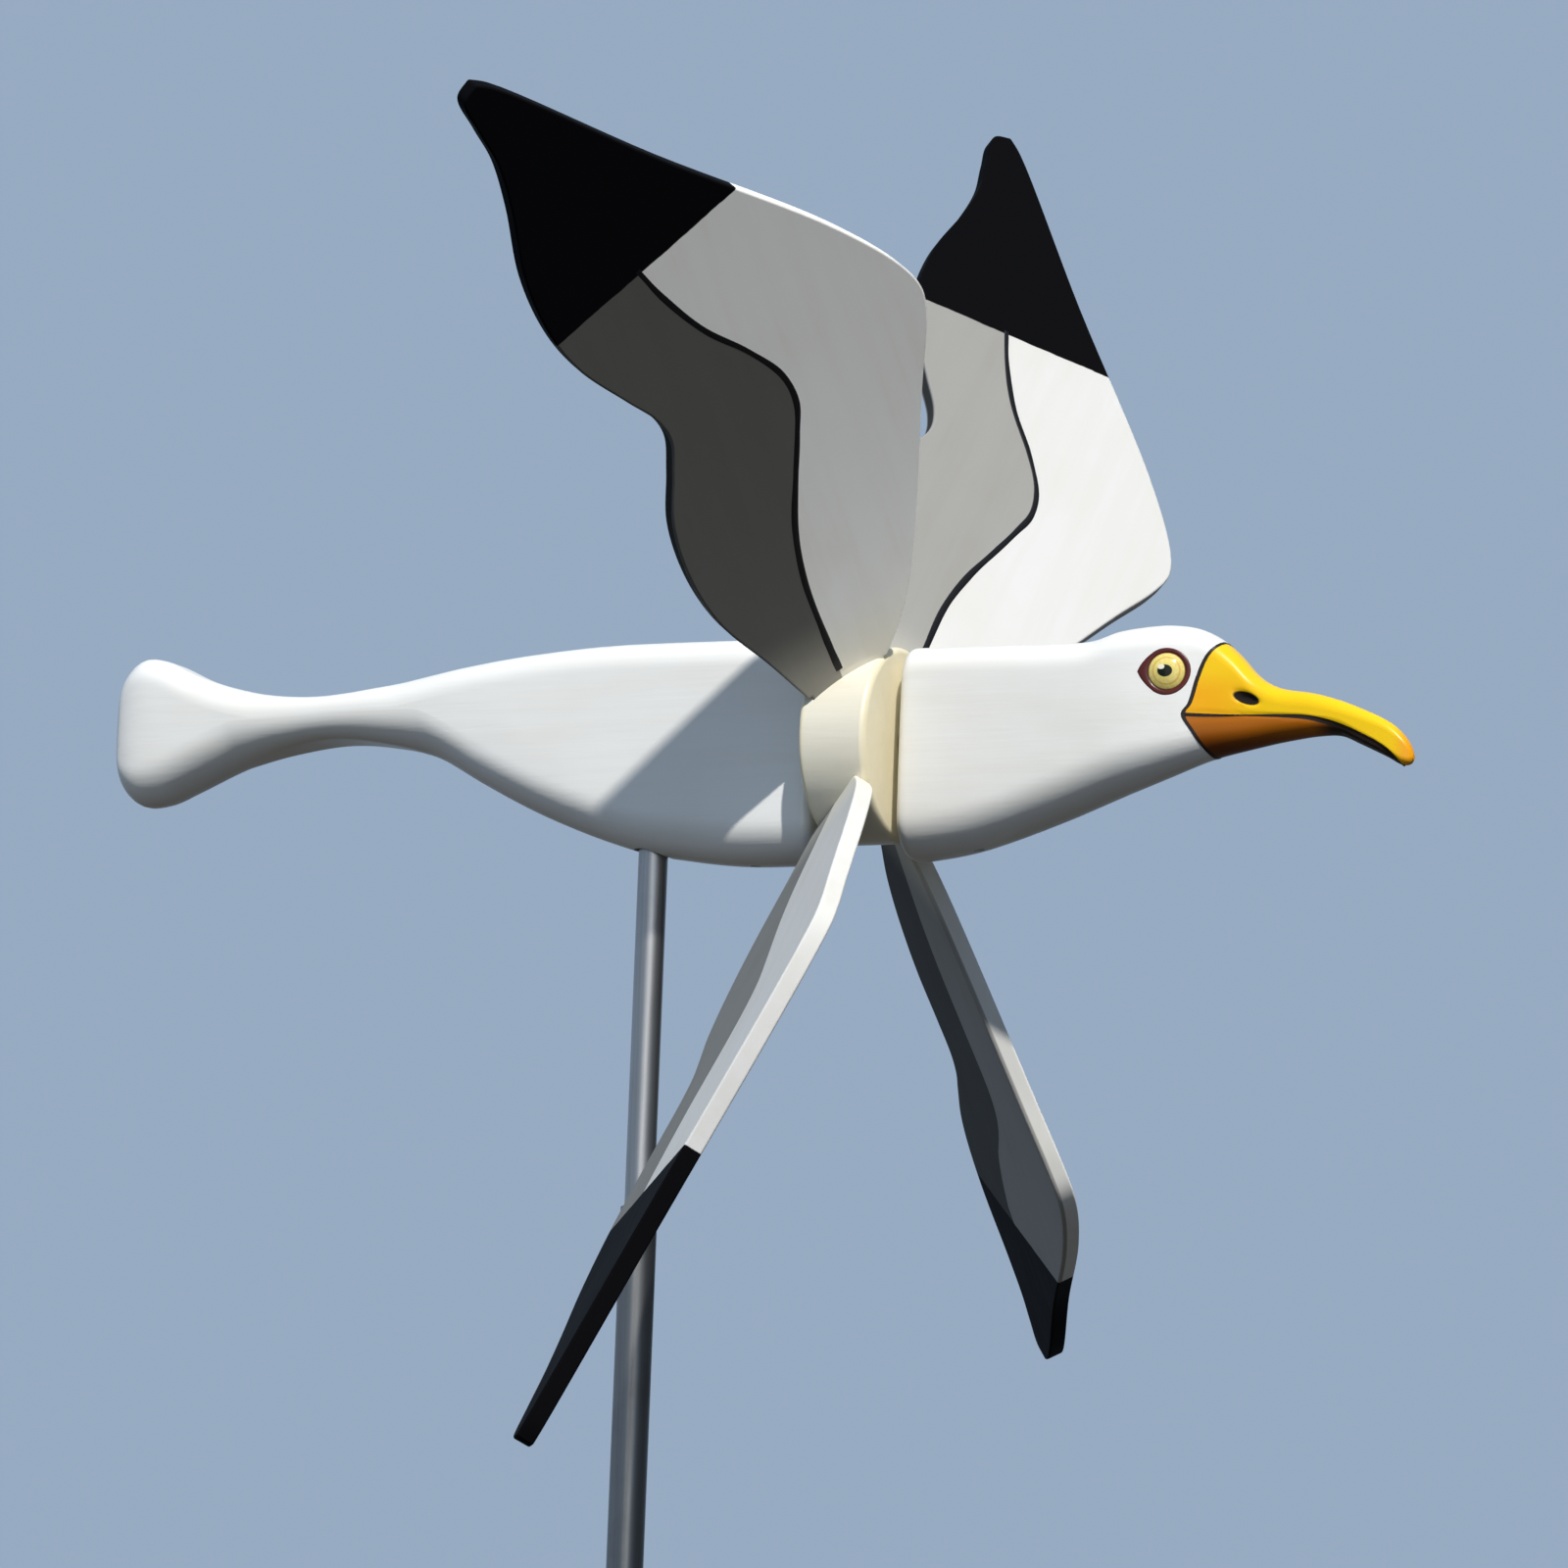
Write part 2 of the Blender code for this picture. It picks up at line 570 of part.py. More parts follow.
def hub(rotor, mat):
    bm = rod(HUB_RADIUS, -HUB_LENGTH / 2, HUB_LENGTH / 2, HUB_EASE, 64)
    obj = piece("hub", bm, mat, rotor, TO_X)
    half = HUB_LENGTH / 2
    bore = BUSHING_RADIUS + FIT_GAP
    flange = BUSHING_FLANGE_RADIUS + FIT_GAP
    seat = half - BUSHING_FLANGE - FIT_GAP
    bore_tool = turned((
        (0, -half - CUT_EXTRA), (flange, -half - CUT_EXTRA), (flange, -seat), (bore, -seat),
        (bore, seat), (flange, seat), (flange, half + CUT_EXTRA), (0, half + CUT_EXTRA),
    ), 28)
    tools = [piece("hub_bore", bore_tool, None, rotor, TO_X)]
    for index in range(WING_COUNT):
        slot_half = WING_THICKNESS / 2 + FIT_GAP
        reach = 40 * MM
        corners = [
            Vector((x, y, -slot_half)) for x, y in (
                (-reach, WING_ROOT - FIT_GAP), (reach, WING_ROOT - FIT_GAP),
                (reach, WING_ROOT + reach), (-reach, WING_ROOT + reach),
            )
        ]
        slot = prism(corners, Vector((0, 0, 2 * slot_half)))
        tools.append(piece(f"hub_slot_{index + 1}", slot, None, rotor, wing_frame(index)))
        shank = SCREW_SHANK_RADIUS + FIT_GAP
        head = SCREW_HEAD_RADIUS + FIT_GAP
        screw_hole = turned((
            (0, -CUT_EXTRA), (head, -CUT_EXTRA), (head, SCREW_RECESS),
            (shank, SCREW_HEAD_DEPTH + SCREW_RECESS + FIT_GAP), (shank, SCREW_LENGTH + FIT_GAP),
            (0, SCREW_LENGTH + FIT_GAP),
        ), 16)
        tools.append(piece(f"hub_screw_hole_{index + 1}", screw_hole, None, rotor, screw_frame(index)))
    cut(obj, tools)
    return obj


def hub_bushing(name, direction, rotor, mat):
    inner = AXLE_RADIUS + FIT_GAP
    outer_face = HUB_LENGTH / 2 - BUSHING_SINK
    bm = turned((
        (inner, outer_face - BUSHING_LENGTH), (BUSHING_RADIUS, outer_face - BUSHING_LENGTH),
        (BUSHING_RADIUS, outer_face - BUSHING_FLANGE), (BUSHING_FLANGE_RADIUS, outer_face - BUSHING_FLANGE),
        (BUSHING_FLANGE_RADIUS, outer_face), (inner, outer_face),
    ), 28, ring=True)
    return piece(name, bm, mat, rotor, direction)


# ---------------------------------------------------------------- assembly

def build():
    clear_scene()
    white = paint("white_paint", (0.87, 0.86, 0.83), 0.35)
    cream = paint("cream_paint", (0.84, 0.80, 0.68), 0.4)
    wing_white = paint("wing_paint", (0.85, 0.85, 0.83), 0.35)
    yellow = paint("bill_paint", (0.95, 0.55, 0.03), 0.35)
    glass = paint("eye_glass", (0.85, 0.62, 0.12), 0.1)
    steel = paint("steel", (0.55, 0.56, 0.57), 0.3, 1.0)
    zinc = paint("zinc_steel", (0.62, 0.63, 0.64), 0.4, 1.0)
    brass = paint("brass", (0.75, 0.56, 0.25), 0.35, 1.0)
    nylon = paint("nylon", (0.85, 0.84, 0.8), 0.5)
    rubber = paint("black_rubber", (0.03, 0.03, 0.03), 0.7)
    beech = paint("beech_dowel", (0.62, 0.42, 0.22), 0.7)

    mast = pivot("mast_origin", (0, 0, 0))
    bird = pivot("bird_swivel", (0, 0, AXLE_HEIGHT))
    rotor = pivot("rotor_spin", HUB_CENTRE, bird)

    mast_foot(mast, rubber)
    mast_tube(mast, zinc)
    pivot_rod(mast, steel)
    thumb_screw(mast, steel)

    rear_body(bird, white)
    front_body(bird, white)
    bill(bird, yellow)
    piece("bill_dowel", dowel_shape(0), beech, bird, dowel_place())
    eye("eye_right", -1, bird, glass)
    eye("eye_left", 1, bird, glass)
    axle(bird, steel)
    axle_pin("front_axle_pin", PIN_OFFSET, FRONT_PIN_BOTTOM, bird, steel)
    axle_pin("rear_axle_pin", -PIN_OFFSET, REAR_PIN_BOTTOM, bird, steel)
    washers(bird, steel, nylon)
    pivot_bearing(bird, brass, steel)

    hub(rotor, cream)
    hub_bushing("front_hub_bushing", TO_X, rotor, brass)
    hub_bushing("rear_hub_bushing", TO_MINUS_X, rotor, brass)
    for index in range(WING_COUNT):
        wing(index, rotor, wing_white)
        wing_screw(index, rotor, steel)


build()
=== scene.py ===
"""Painted wooden seagull whirligig: the visual model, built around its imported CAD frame.

Metres, +Z up, +X toward the bill.  Lists of points are in millimetres, measured from the
middle of the hub unless a comment says otherwise, and MM turns them into metres.
"""

import math

import bmesh
import bpy
from mathutils import Matrix, Vector, noise
from mathutils.bvhtree import BVHTree


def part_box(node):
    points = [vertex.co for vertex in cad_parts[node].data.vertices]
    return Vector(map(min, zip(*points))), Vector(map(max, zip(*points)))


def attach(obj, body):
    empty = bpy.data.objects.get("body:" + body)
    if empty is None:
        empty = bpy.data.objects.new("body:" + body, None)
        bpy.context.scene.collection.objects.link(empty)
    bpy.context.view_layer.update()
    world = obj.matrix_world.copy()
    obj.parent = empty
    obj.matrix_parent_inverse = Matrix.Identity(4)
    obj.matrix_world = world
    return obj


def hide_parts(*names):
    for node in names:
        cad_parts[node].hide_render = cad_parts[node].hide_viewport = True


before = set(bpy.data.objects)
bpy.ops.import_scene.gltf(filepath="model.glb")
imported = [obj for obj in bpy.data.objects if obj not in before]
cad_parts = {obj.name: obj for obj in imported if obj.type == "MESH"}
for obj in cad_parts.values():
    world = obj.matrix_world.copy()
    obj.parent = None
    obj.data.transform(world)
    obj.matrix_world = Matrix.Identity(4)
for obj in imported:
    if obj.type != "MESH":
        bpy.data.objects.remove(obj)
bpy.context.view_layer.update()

MM = 0.001


# -------- places taken from the frame

def middle(node):
    low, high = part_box(node)
    return (low + high) / 2


def half_size(node, axis):
    """Half the size of a CAD node along axis 0, 1 or 2, in millimetres."""
    low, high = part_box(node)
    return (high[axis] - low[axis]) / 2 / MM


HUB = middle("hub")
MAST = Vector((middle("mast_tube").x, middle("mast_tube").y, 0))
hub_low, hub_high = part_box("hub")
HUB_RADIUS = (hub_high.z - hub_low.z) / 2
HUB_HALF = (hub_high.x - hub_low.x) / 2
BODY_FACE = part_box("front_body")[0].x - HUB.x          # hub-side faces of the body
UP = Matrix()
TO_X = Matrix.Rotation(math.pi / 2, 4, "Y")            # local Z onto +X
TO_MINUS_X = Matrix.Rotation(-math.pi / 2, 4, "Y")     # local Z onto -X
AT_HUB = Matrix.Translation(HUB)

# -------- outlines

# Wing, as (span from the axle, chord), root to tip and back
WING_FRONT_EDGE = (
    (40.5, 20), (58, 34.5), (90, 50.5), (150, 74), (178, 85.5), (192, 88.5),
    (206, 84.5), (240, 62), (310, 1), (377, -54), (383, -61.5),
)
WING_REAR_EDGE = (
    (383, -61.5), (378, -68.5), (362, -67), (345, -64.5), (322, -66), (290, -71),
    (262, -69.5), (240, -63), (215, -48.5), (200, -39.5), (188, -37), (172, -41.5),
    (150, -49), (122, -50), (95, -44.5), (66, -31), (40.5, -20),
)
WING_THICKNESS = 8
WING_PITCHES = (46.5, 46.5, 50.2, 46.5)        # degrees from the axle to the chord
WING_PHASES = (41.2, 131.2, 223.2, 311.2)      # degrees round the axle
WING_ROOT = 28                # span at which the tongue ends inside the hub
WING_TONGUE = 18              # half the tongue's chord
WING_SHOULDER = 40.5          # span at which the tongue meets the board
WING_ROUND = 2.3
WING_SCREW_RADIUS = 34        # from the axle
SCREW_SHANK = 1.5

# Painted pattern of a wing: the line between grey and white, root to tip, as (span, chord)
WING_LINE = (
    (46, 0), (56, -0.6), (68, -1), (95, -1), (120, 3), (142, 10), (160, 16), (175, 20),
    (190, 18), (208, 8), (228, -7), (252, -19), (269, -25),
)
WING_LINE_SHIFT = (-2.6, 3.6, 0, 0)        # chord by which each line strays near the hub
TIP_SPANS = (273.7, 273.7, 279, 273.7)     # where the black begins at chord 0
TIP_SLANTS = (0.26, 0.26, 0.02, 0.26)      # and how far it leans with the chord

# Body, seen from the side, as (X, Z)
REAR_TOP = (
    (-361, 36), (-358, 45), (-350, 50.5), (-340, 49.5), (-322, 41.5), (-303, 35.3),
    (-280, 31), (-258, 30), (-232, 33), (-193, 40), (-157, 44.8), (-121, 47.2),
    (-71, 47.2), (-20, 45.5),
)
REAR_BOTTOM = (
    (-361, -1), (-358.5, -8.5), (-351, -14.5), (-340, -14), (-327, -9), (-303, 1),
    (-279, 8), (-255, 11), (-232, 8.8), (-206, 2.2), (-181, -11.4), (-157, -23.5),
    (-134, -33.2), (-104, -43), (-86, -46.4), (-60, -49.6), (-20, -50.5),
)
REAR_HALF_WIDTH = (
    (-361, 11), (-359.5, 13), (-356, 15.2), (-350, 17), (-340, 18), (-300, 18.5),
    (-200, 19), (-20, 19),
)
FRONT_TOP = (
    (20, 40.5), (60, 40), (95, 39.5), (106, 40.3), (117, 43.8), (129, 45.6), (140, 46.1),
    (151, 44.4), (160, 40.2), (168, 33.6), (178, 23.2), (188, 18), (205, 14.8), (222, 9),
    (237.5, 1.2), (244, -5), (246.6, -9.4), (247.5, -12.6),
)
FRONT_BOTTOM = (
    (20, -50.5), (33, -49.6), (55, -45.8), (88, -35.4), (111, -26.8), (134, -18.8),
    (156, -11.2), (172, -7.8), (190, -4.6), (206, -2.9), (215, -3.2), (224, -7),
    (236, -12.8), (243, -16.4), (246.2, -15.9), (247.5, -14),
)
FRONT_HALF_WIDTH = (
    (20, 19), (105, 19), (122, 18), (143, 14.5), (157, 11.5), (172, 9.5), (205, 7.8),
    (230, 5.5), (243, 3.8), (246.2, 2.7), (247.5, 1.2),
)
BACK_ROUND = 12.5
BELLY_ROUND = 17.5
END_ROUND = 4.5
SIDE_CROWN = 0.35             # how far the flat sides swell
PIN_TOP = -1.5                # of the locking pins' holes
BELOW = 70                    # a depth below the axle that is outside the wood

CLEARANCE = 0.3               # round the metal in its holes
FIT = 0.04                    # round the wings' tongues

# Head: joint with the bill from top to bottom, mouth line, nostril and eye
BILL_BASE = ((166, 41), (158, 31), (154.5, 22), (151.5, 11), (148.8, 6.5), (153, -1), (162, -15))
BILL_REACH = 260
OUTLINE_HALF = 0.85           # half the width of the black line round the bill's base
MOUTH = (
    (148.8, 6.3), (160, 5.8), (176, 5.6), (192, 4.9), (203, 3.9), (214, 1.0), (225, -3.8),
    (235, -9.4), (243.5, -16.8),
)
NOSTRIL = Vector((175.3, 12.9))
NOSTRIL_TILT = math.radians(-19)
NOSTRIL_HALF = (6.2, 2.6)
NOSTRIL_DEPTH = 1.7
GROOVE_DEPTH = 0.55           # of the mouth
EYE_PLACE = (141.5, 14.9, 24.6)
EYE_TURN = math.radians(14)   # toward the bill
EYE_RADIUS = 8
EYE_DOME = 2.6                # height of the dome over its rim
EYE_SEAT = 3


# -------- curves

def curve_through(points, samples):
    """A smooth (centripetal Catmull-Rom) curve through points, `samples` per span."""
    pts = [Vector(point) for point in points]
    pts = [2 * pts[0] - pts[1]] + pts + [2 * pts[-1] - pts[-2]]
    curve = []
    for p0, p1, p2, p3 in zip(pts, pts[1:], pts[2:], pts[3:]):
        t1 = math.sqrt((p1 - p0).length)
        t2 = t1 + math.sqrt((p2 - p1).length)
        t3 = t2 + math.sqrt((p3 - p2).length)
        for index in range(samples):
            t = t1 + (t2 - t1) * index / samples
            a1 = p0.lerp(p1, t / t1)
            a2 = p1.lerp(p2, (t - t1) / (t2 - t1))
            a3 = p2.lerp(p3, (t - t2) / (t3 - t2))
            b1 = a1.lerp(a2, t / t2)
            b2 = a2.lerp(a3, (t - t1) / (t3 - t1))
            curve.append(b1.lerp(b2, (t - t1) / (t2 - t1)))
    curve.append(pts[-2])
    return curve


def read(line, x):
    """A curve given as points in order of X, read at one X."""
    for near, far in zip(line, line[1:]):
        if x <= far[0]:
            share = (x - near[0]) / (far[0] - near[0])
            return near[1] + share * (far[1] - near[1])
    return line[-1][1]


def smooth(value, low, high):
    share = min(1, max(0, (value - low) / (high - low)))
    return share * share * (3 - 2 * share)


def eased(points, ease, steps=4):
    """Round every inner corner of a profile."""
    pts = [Vector(point) for point in points]
    result = [pts[0]]
    for before, corner, after in zip(pts, pts[1:], pts[2:]):
        back, ahead = before - corner, after - corner
        reach = min(ease, back.length / 2.1, ahead.length / 2.1)
        start, end = corner + back.normalized() * reach, corner + ahead.normalized() * reach
        for step in range(steps + 1):
            t = step / steps
            result.append(start.lerp(corner, t).lerp(corner.lerp(end, t), t))
    return result + [pts[-1]]


# -------- meshes

def shaded(obj):
    """Smooth shading in which large flat faces stay flat."""
    obj.data.shade_smooth()
    obj.data.set_sharp_from_angle(angle=math.radians(38))
    weighted = obj.modifiers.new("normals", "WEIGHTED_NORMAL")
    weighted.weight = 60
    weighted.keep_sharp = True
    return obj


def linked(name, data):
    obj = bpy.data.objects.new(name, data)
    bpy.context.scene.collection.objects.link(obj)
    return obj


def made(name, bm, matrix=UP):
    bmesh.ops.remove_doubles(bm, verts=bm.verts, dist=1e-7)
    bmesh.ops.recalc_face_normals(bm, faces=bm.faces)
    mesh = bpy.data.meshes.new(name)
    bm.to_mesh(mesh)
    bm.free()
    obj = linked(name, mesh)
    obj.matrix_world = matrix
    return obj


def cut(obj, tools, operation="DIFFERENCE"):
    """Apply the modifiers of obj and a boolean with each tool, and remove the tools."""
    for tool in tools:
        boolean = obj.modifiers.new(tool.name, "BOOLEAN")
        boolean.operation = operation
        boolean.object = tool
        boolean.solver = "EXACT"
    bpy.context.view_layer.update()
    graph = bpy.context.evaluated_depsgraph_get()
    mesh = bpy.data.meshes.new_from_object(obj.evaluated_get(graph))
    obj.modifiers.clear()
    old = obj.data
    obj.data = mesh
    mesh.name = obj.name
    bpy.data.meshes.remove(old)
    for tool in tools:
        bpy.data.objects.remove(tool)
    return obj


def spun(points, steps=64, ring=False, radius_at=None):
    """Turn (radius, height) points in millimetres about local Z.
    radius_at gives a factor for the radius from the angle, radius and height."""
    bm = bmesh.new()
    verts = [bm.verts.new((point[0] * MM, 0, point[1] * MM)) for point in points]
    pairs = list(zip(verts, verts[1:]))
    if ring:
        pairs.append((verts[-1], verts[0]))
    edges = [bm.edges.new(pair) for pair in pairs]
    bmesh.ops.spin(
        bm, geom=verts + edges, cent=(0, 0, 0), axis=(0, 0, 1),
        angle=2 * math.pi, steps=steps, use_merge=True,
    )
    if radius_at:
        for vert in bm.verts:
            angle, radius = math.atan2(vert.co.y, vert.co.x), vert.co.xy.length / MM
            vert.co.xy *= radius_at(angle, radius, vert.co.z / MM)
    return bm


def closed_profile(corners, ease):
    return eased(corners + corners[:2], ease)[1:-1]


def prism(outline, direction):
    bm = bmesh.new()
    face = bm.faces.new([bm.verts.new(point) for point in outline])
    extruded = bmesh.ops.extrude_face_region(bm, geom=[face])
    moved = [item for item in extruded["geom"] if isinstance(item, bmesh.types.BMVert)]
    bmesh.ops.translate(bm, vec=direction, verts=moved)
    return bm


def drill(name, radius, bottom, top, matrix, steps=64):
    """A cylinder that cuts a hole."""
    points = ((0, bottom), (radius, bottom), (radius, top), (0, top))
    return made(name, spun(points, steps), matrix)


def slab(name, outline, half, matrix):
    """A board from (X, Y) points, with its middle on the local XY plane."""
    corners = [Vector((x, y, -half)) * MM for x, y in outline]
    return made(name, prism(corners, Vector((0, 0, 2 * half)) * MM), matrix)


# -------- body

def body_section(x, low, high, half, inset):
    """One cross-section: round back, rounder belly and faintly crowned sides."""
    corner_steps, side_steps, flat_steps = 10, 16, 3
    low, high, half = low + inset, high - inset, half - inset
    back = min(BACK_ROUND, 0.86 * half, 0.44 * (high - low))
    belly = min(BELLY_ROUND, 0.95 * half, 0.52 * (high - low))
    corners = (                       # (Y, Z of the arc's middle, radius, first angle)
        (half - back, high - back, back, 0), (back - half, high - back, back, 1),
        (belly - half, low + belly, belly, 2), (half - belly, low + belly, belly, 3),
    )
    ring = []
    for number, (y, z, radius, start) in enumerate(corners):
        arc = []
        for step in range(corner_steps + 1):
            angle = (start + step / corner_steps) * math.pi / 2
            arc.append(Vector((y + radius * math.cos(angle), z + radius * math.sin(angle))))
        y, z, radius, start = corners[(number + 1) % 4]
        angle = start * math.pi / 2
        following = Vector((y + radius * math.cos(angle), z + radius * math.sin(angle)))
        upright = number % 2 == 1
        steps = side_steps if upright else flat_steps
        swell = SIDE_CROWN * smooth((following - arc[-1]).length, 4, 40) if upright else 0.0
        ring += arc
        for step in range(1, steps):
            share = step / steps
            point = arc[-1].lerp(following, share)
            point.x += math.copysign(swell * 4 * share * (1 - share), point.x)
            ring.append(point)
    return [Vector((x, y, z)) for y, z in ring]


def loft(stations, top, bottom, width, face_x, grow=0.0, groove=False):
    """Skin the sections at the stations. The end at face_x is eased at its rim, grow makes
    the skin larger, and groove adds the mouth and the nostrils."""
    top_curve, bottom_curve = curve_through(top, 8), curve_through(bottom, 8)
    width_curve = curve_through(width, 6)
    mouth = curve_through(MOUTH, 6)
    bm = bmesh.new()
    rings = []
    for x in stations:
        depth = min(abs(x - face_x), END_ROUND)
        inset = END_ROUND - math.sqrt(END_ROUND ** 2 - (END_ROUND - depth) ** 2)
        section = body_section(
            x, read(bottom_curve, x), read(top_curve, x), read(width_curve, x), inset - grow,
        )
        middle_z = (read(bottom_curve, x) + read(top_curve, x)) / 2
        points = []
        for point in section:
            wander = noise.noise(point * 0.022) * 0.28           # marks of hand shaping
            wander += noise.noise(point * 0.07 + Vector((9, 3, 5))) * 0.08
            side = Vector((0, point.y, point.z - middle_z))
            point = point + side.normalized() * wander * smooth(abs(x - face_x), 0, 12)
            if groove:
                point = dented(point, mouth)
            points.append(bm.verts.new(HUB + point * MM))
        rings.append(points)
    for ring, following in zip(rings, rings[1:]):
        for index in range(len(ring)):
            after = (index + 1) % len(ring)
            bm.faces.new((ring[index], ring[after], following[after], following[index]))
    bm.faces.new(rings[0])
    bm.faces.new(rings[-1])
    return bm


def dented(point, mouth):
    """Press the mouth groove and the nostrils into the bill's sides."""
    inward = -1 if point.y > 0 else 1
    depth = 0.0
    if MOUTH[0][0] - 1 < point.x < MOUTH[-1][0] + 3:
        off = abs(point.z - read(mouth, point.x))
        fade = 1 - smooth(point.x, MOUTH[-1][0] - 6, MOUTH[-1][0] + 3)
        depth = GROOVE_DEPTH * (1 - smooth(off, 0.2, 1.5)) * fade
    away = Vector((point.x, point.z)) - NOSTRIL
    away.rotate(Matrix.Rotation(-NOSTRIL_TILT, 2))
    inside = math.hypot(away.x / NOSTRIL_HALF[0], away.y / NOSTRIL_HALF[1])
    depth = max(depth, NOSTRIL_DEPTH * (1 - smooth(inside, 0.45, 1.15)))
    return point + Vector((0, inward * depth, 0))


def stations_between(start, end, spacing):
    """X stations, close together for the first and last few millimetres."""
    close = (0, 0.2, 0.6, 1.2, 2.0, 3.0, 4.5)
    first = [start + step for step in close]
    last = [end - step for step in reversed(close)]
    count = max(1, math.ceil((last[0] - first[-1]) / spacing))
    gap = (last[0] - first[-1]) / count
    return first + [first[-1] + gap * step for step in range(1, count)] + last


def rear_body():
    face = -BODY_FACE / MM
    stations = stations_between(REAR_TOP[0][0], face, 2.6)
    body = made("rear_body_painted", loft(stations, REAR_TOP, REAR_BOTTOM, REAR_HALF_WIDTH, face))
    radius = half_size("pivot_disc", 0) + CLEARANCE
    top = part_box("pivot_disc")[1].z / MM + CLEARANCE
    hole = drill("sleeve_hole", radius, HUB.z / MM - BELOW, top, Matrix.Translation(MAST))
    return cut(body, [hole] + axle_holes(-1))


def axle_holes(side):
    """Cutters for the axle and its locking pin on one side of the hub."""
    radius, length = half_size("axle", 2) + CLEARANCE, half_size("axle", 0) + CLEARANCE
    along = AT_HUB @ (TO_X if side > 0 else TO_MINUS_X)
    pin = "front_axle_pin" if side > 0 else "rear_axle_pin"
    at_pin = Matrix.Translation((middle(pin).x, HUB.y, HUB.z))
    return [
        drill("axle_hole", radius, BODY_FACE / MM - 5, length, along, 40),
        drill("pin_hole", half_size(pin, 0) + CLEARANCE, -BELOW, PIN_TOP, at_pin, 32),
    ]


def front_loft(grow=0.0, groove=False):
    face = BODY_FACE / MM
    stations = stations_between(face, FRONT_TOP[-1][0], 1.35)
    return loft(stations, FRONT_TOP, FRONT_BOTTOM, FRONT_HALF_WIDTH, face, grow, groove)


def base_edge(shift):
    return [(point.x + shift, point.y) for point in curve_through(BILL_BASE, 5)]


def side_prism(name, outline):
    """A side-view region (X, Z) as a cutter across the whole width."""
    half = 32
    points = [HUB + Vector((x, -half, z)) * MM for x, z in outline]
    return made(name, prism(points, Vector((0, 2 * half, 0)) * MM))


def bill_zone(shift):
    """Everything ahead of the line round the bill's base."""
    edge = base_edge(shift)
    bottom, top = edge[-1][1] - 20, edge[0][1] + 20
    return side_prism("bill_zone", edge + [(BILL_REACH, bottom), (BILL_REACH, top)])


def front_body():
    body = made("front_body_painted", front_loft())
    tools = [bill_zone(-OUTLINE_HALF)] + axle_holes(1)
    for side in (-1, 1):
        tools.append(drill("eye_seat", EYE_RADIUS + 0.15, -EYE_SEAT, 20, eye_frame(side), 72))
    return cut(body, tools)


def bill():
    return cut(made("bill_painted", front_loft(groove=True)), [bill_zone(OUTLINE_HALF)], "INTERSECT")


def bill_outline():
    """The black line painted round the bill's base, a little proud of the wood."""
    body = made("bill_outline", front_loft(grow=0.18))
    band = side_prism("band", base_edge(-OUTLINE_HALF) + base_edge(OUTLINE_HALF)[::-1])
    return cut(body, [band], "INTERSECT")


# -------- eyes and painted lines

def eye_frame(side):
    """Local Z looks out of the head and local Y is up."""
    x, half_width, z = EYE_PLACE
    outward = Vector((math.sin(EYE_TURN), side * math.cos(EYE_TURN), 0))
    up = Vector((0, 0, 1))
    across = up.cross(outward)
    frame_matrix = Matrix((across, up, outward)).transposed().to_4x4()
    return Matrix.Translation(HUB + Vector((x, side * half_width, z)) * MM) @ frame_matrix


def eye(name):
    dome_radius = (EYE_RADIUS ** 2 + EYE_DOME ** 2) / (2 * EYE_DOME)
    dome_angle = math.asin(EYE_RADIUS / dome_radius)
    profile = [(0, -EYE_SEAT), (EYE_RADIUS, -EYE_SEAT), (EYE_RADIUS, -0.4)]
    steps = 16
    for step in range(steps + 1):
        angle = dome_angle * (1 - step / steps)
        height = EYE_DOME + dome_radius * (math.cos(angle) - 1)
        profile.append((dome_radius * math.sin(angle), height))
    return made(name, spun(profile, 72))


def skin(name, matrix, rows, height_of, lift, closed=False):
    """A thin raised skin of paint. rows[i][j] are points on the plane of matrix, and
    height_of gives the surface over them."""
    sink = 0.35
    bm = bmesh.new()
    tops, lows = [], []
    for row in rows:
        top, low = [], []
        for index, (x, y) in enumerate(row):
            place = 2 * index / (len(row) - 1) - 1
            height = height_of(x, y)
            top.append(bm.verts.new(Vector((x, y, height + lift * (1 - place ** 4) + 0.02)) * MM))
            low.append(bm.verts.new(Vector((x, y, height - sink)) * MM))
        tops.append(top)
        lows.append(low)
    count = len(rows)
    for index in range(count if closed else count - 1):
        after = (index + 1) % count
        for grid, turn in ((tops, 1), (lows, -1)):
            for near, far, far_next, near_next in zip(
                grid[index], grid[index][1:], grid[after][1:], grid[after],
            ):
                bm.faces.new((near, far, far_next, near_next)[::turn])
        for edge in (0, -1):
            near, far = tops[index][edge], tops[after][edge]
            bm.faces.new((near, far, lows[after][edge], lows[index][edge]))
    if not closed:
        for end in (0, -1):
            bm.faces.new(tops[end] + lows[end][::-1])
    return made(name, bm, matrix)


def ribbon_rows(line, half_width):
    """Cross rows of a painted line along a plane curve; half_width is a function of its share."""
    across = 6
    rows = []
    for index, point in enumerate(line):
        before, after = line[max(0, index - 1)], line[min(len(line) - 1, index + 1)]
        ahead = (after - before).normalized()
        left = Vector((-ahead.y, ahead.x))
        half = half_width(index / (len(line) - 1))
        shares = [2 * step / across - 1 for step in range(across + 1)]
        rows.append([tuple(point + left * half * share) for share in shares])
    return rows


def surface_reader(tree, matrix):
    """Height of a mesh above a plane's frame, read along the frame's local Z."""
    direction = -(matrix.to_3x3() @ Vector((0, 0, 1)))
    back = matrix.inverted()

    def height(x, y):
        start = matrix @ (Vector((x, y, 40)) * MM)
        hit = tree.ray_cast(start, direction)[0]
        if hit is None:
            hit = tree.find_nearest(matrix @ (Vector((x, y, 0)) * MM))[0]
        return (back @ hit).z / MM
    return height


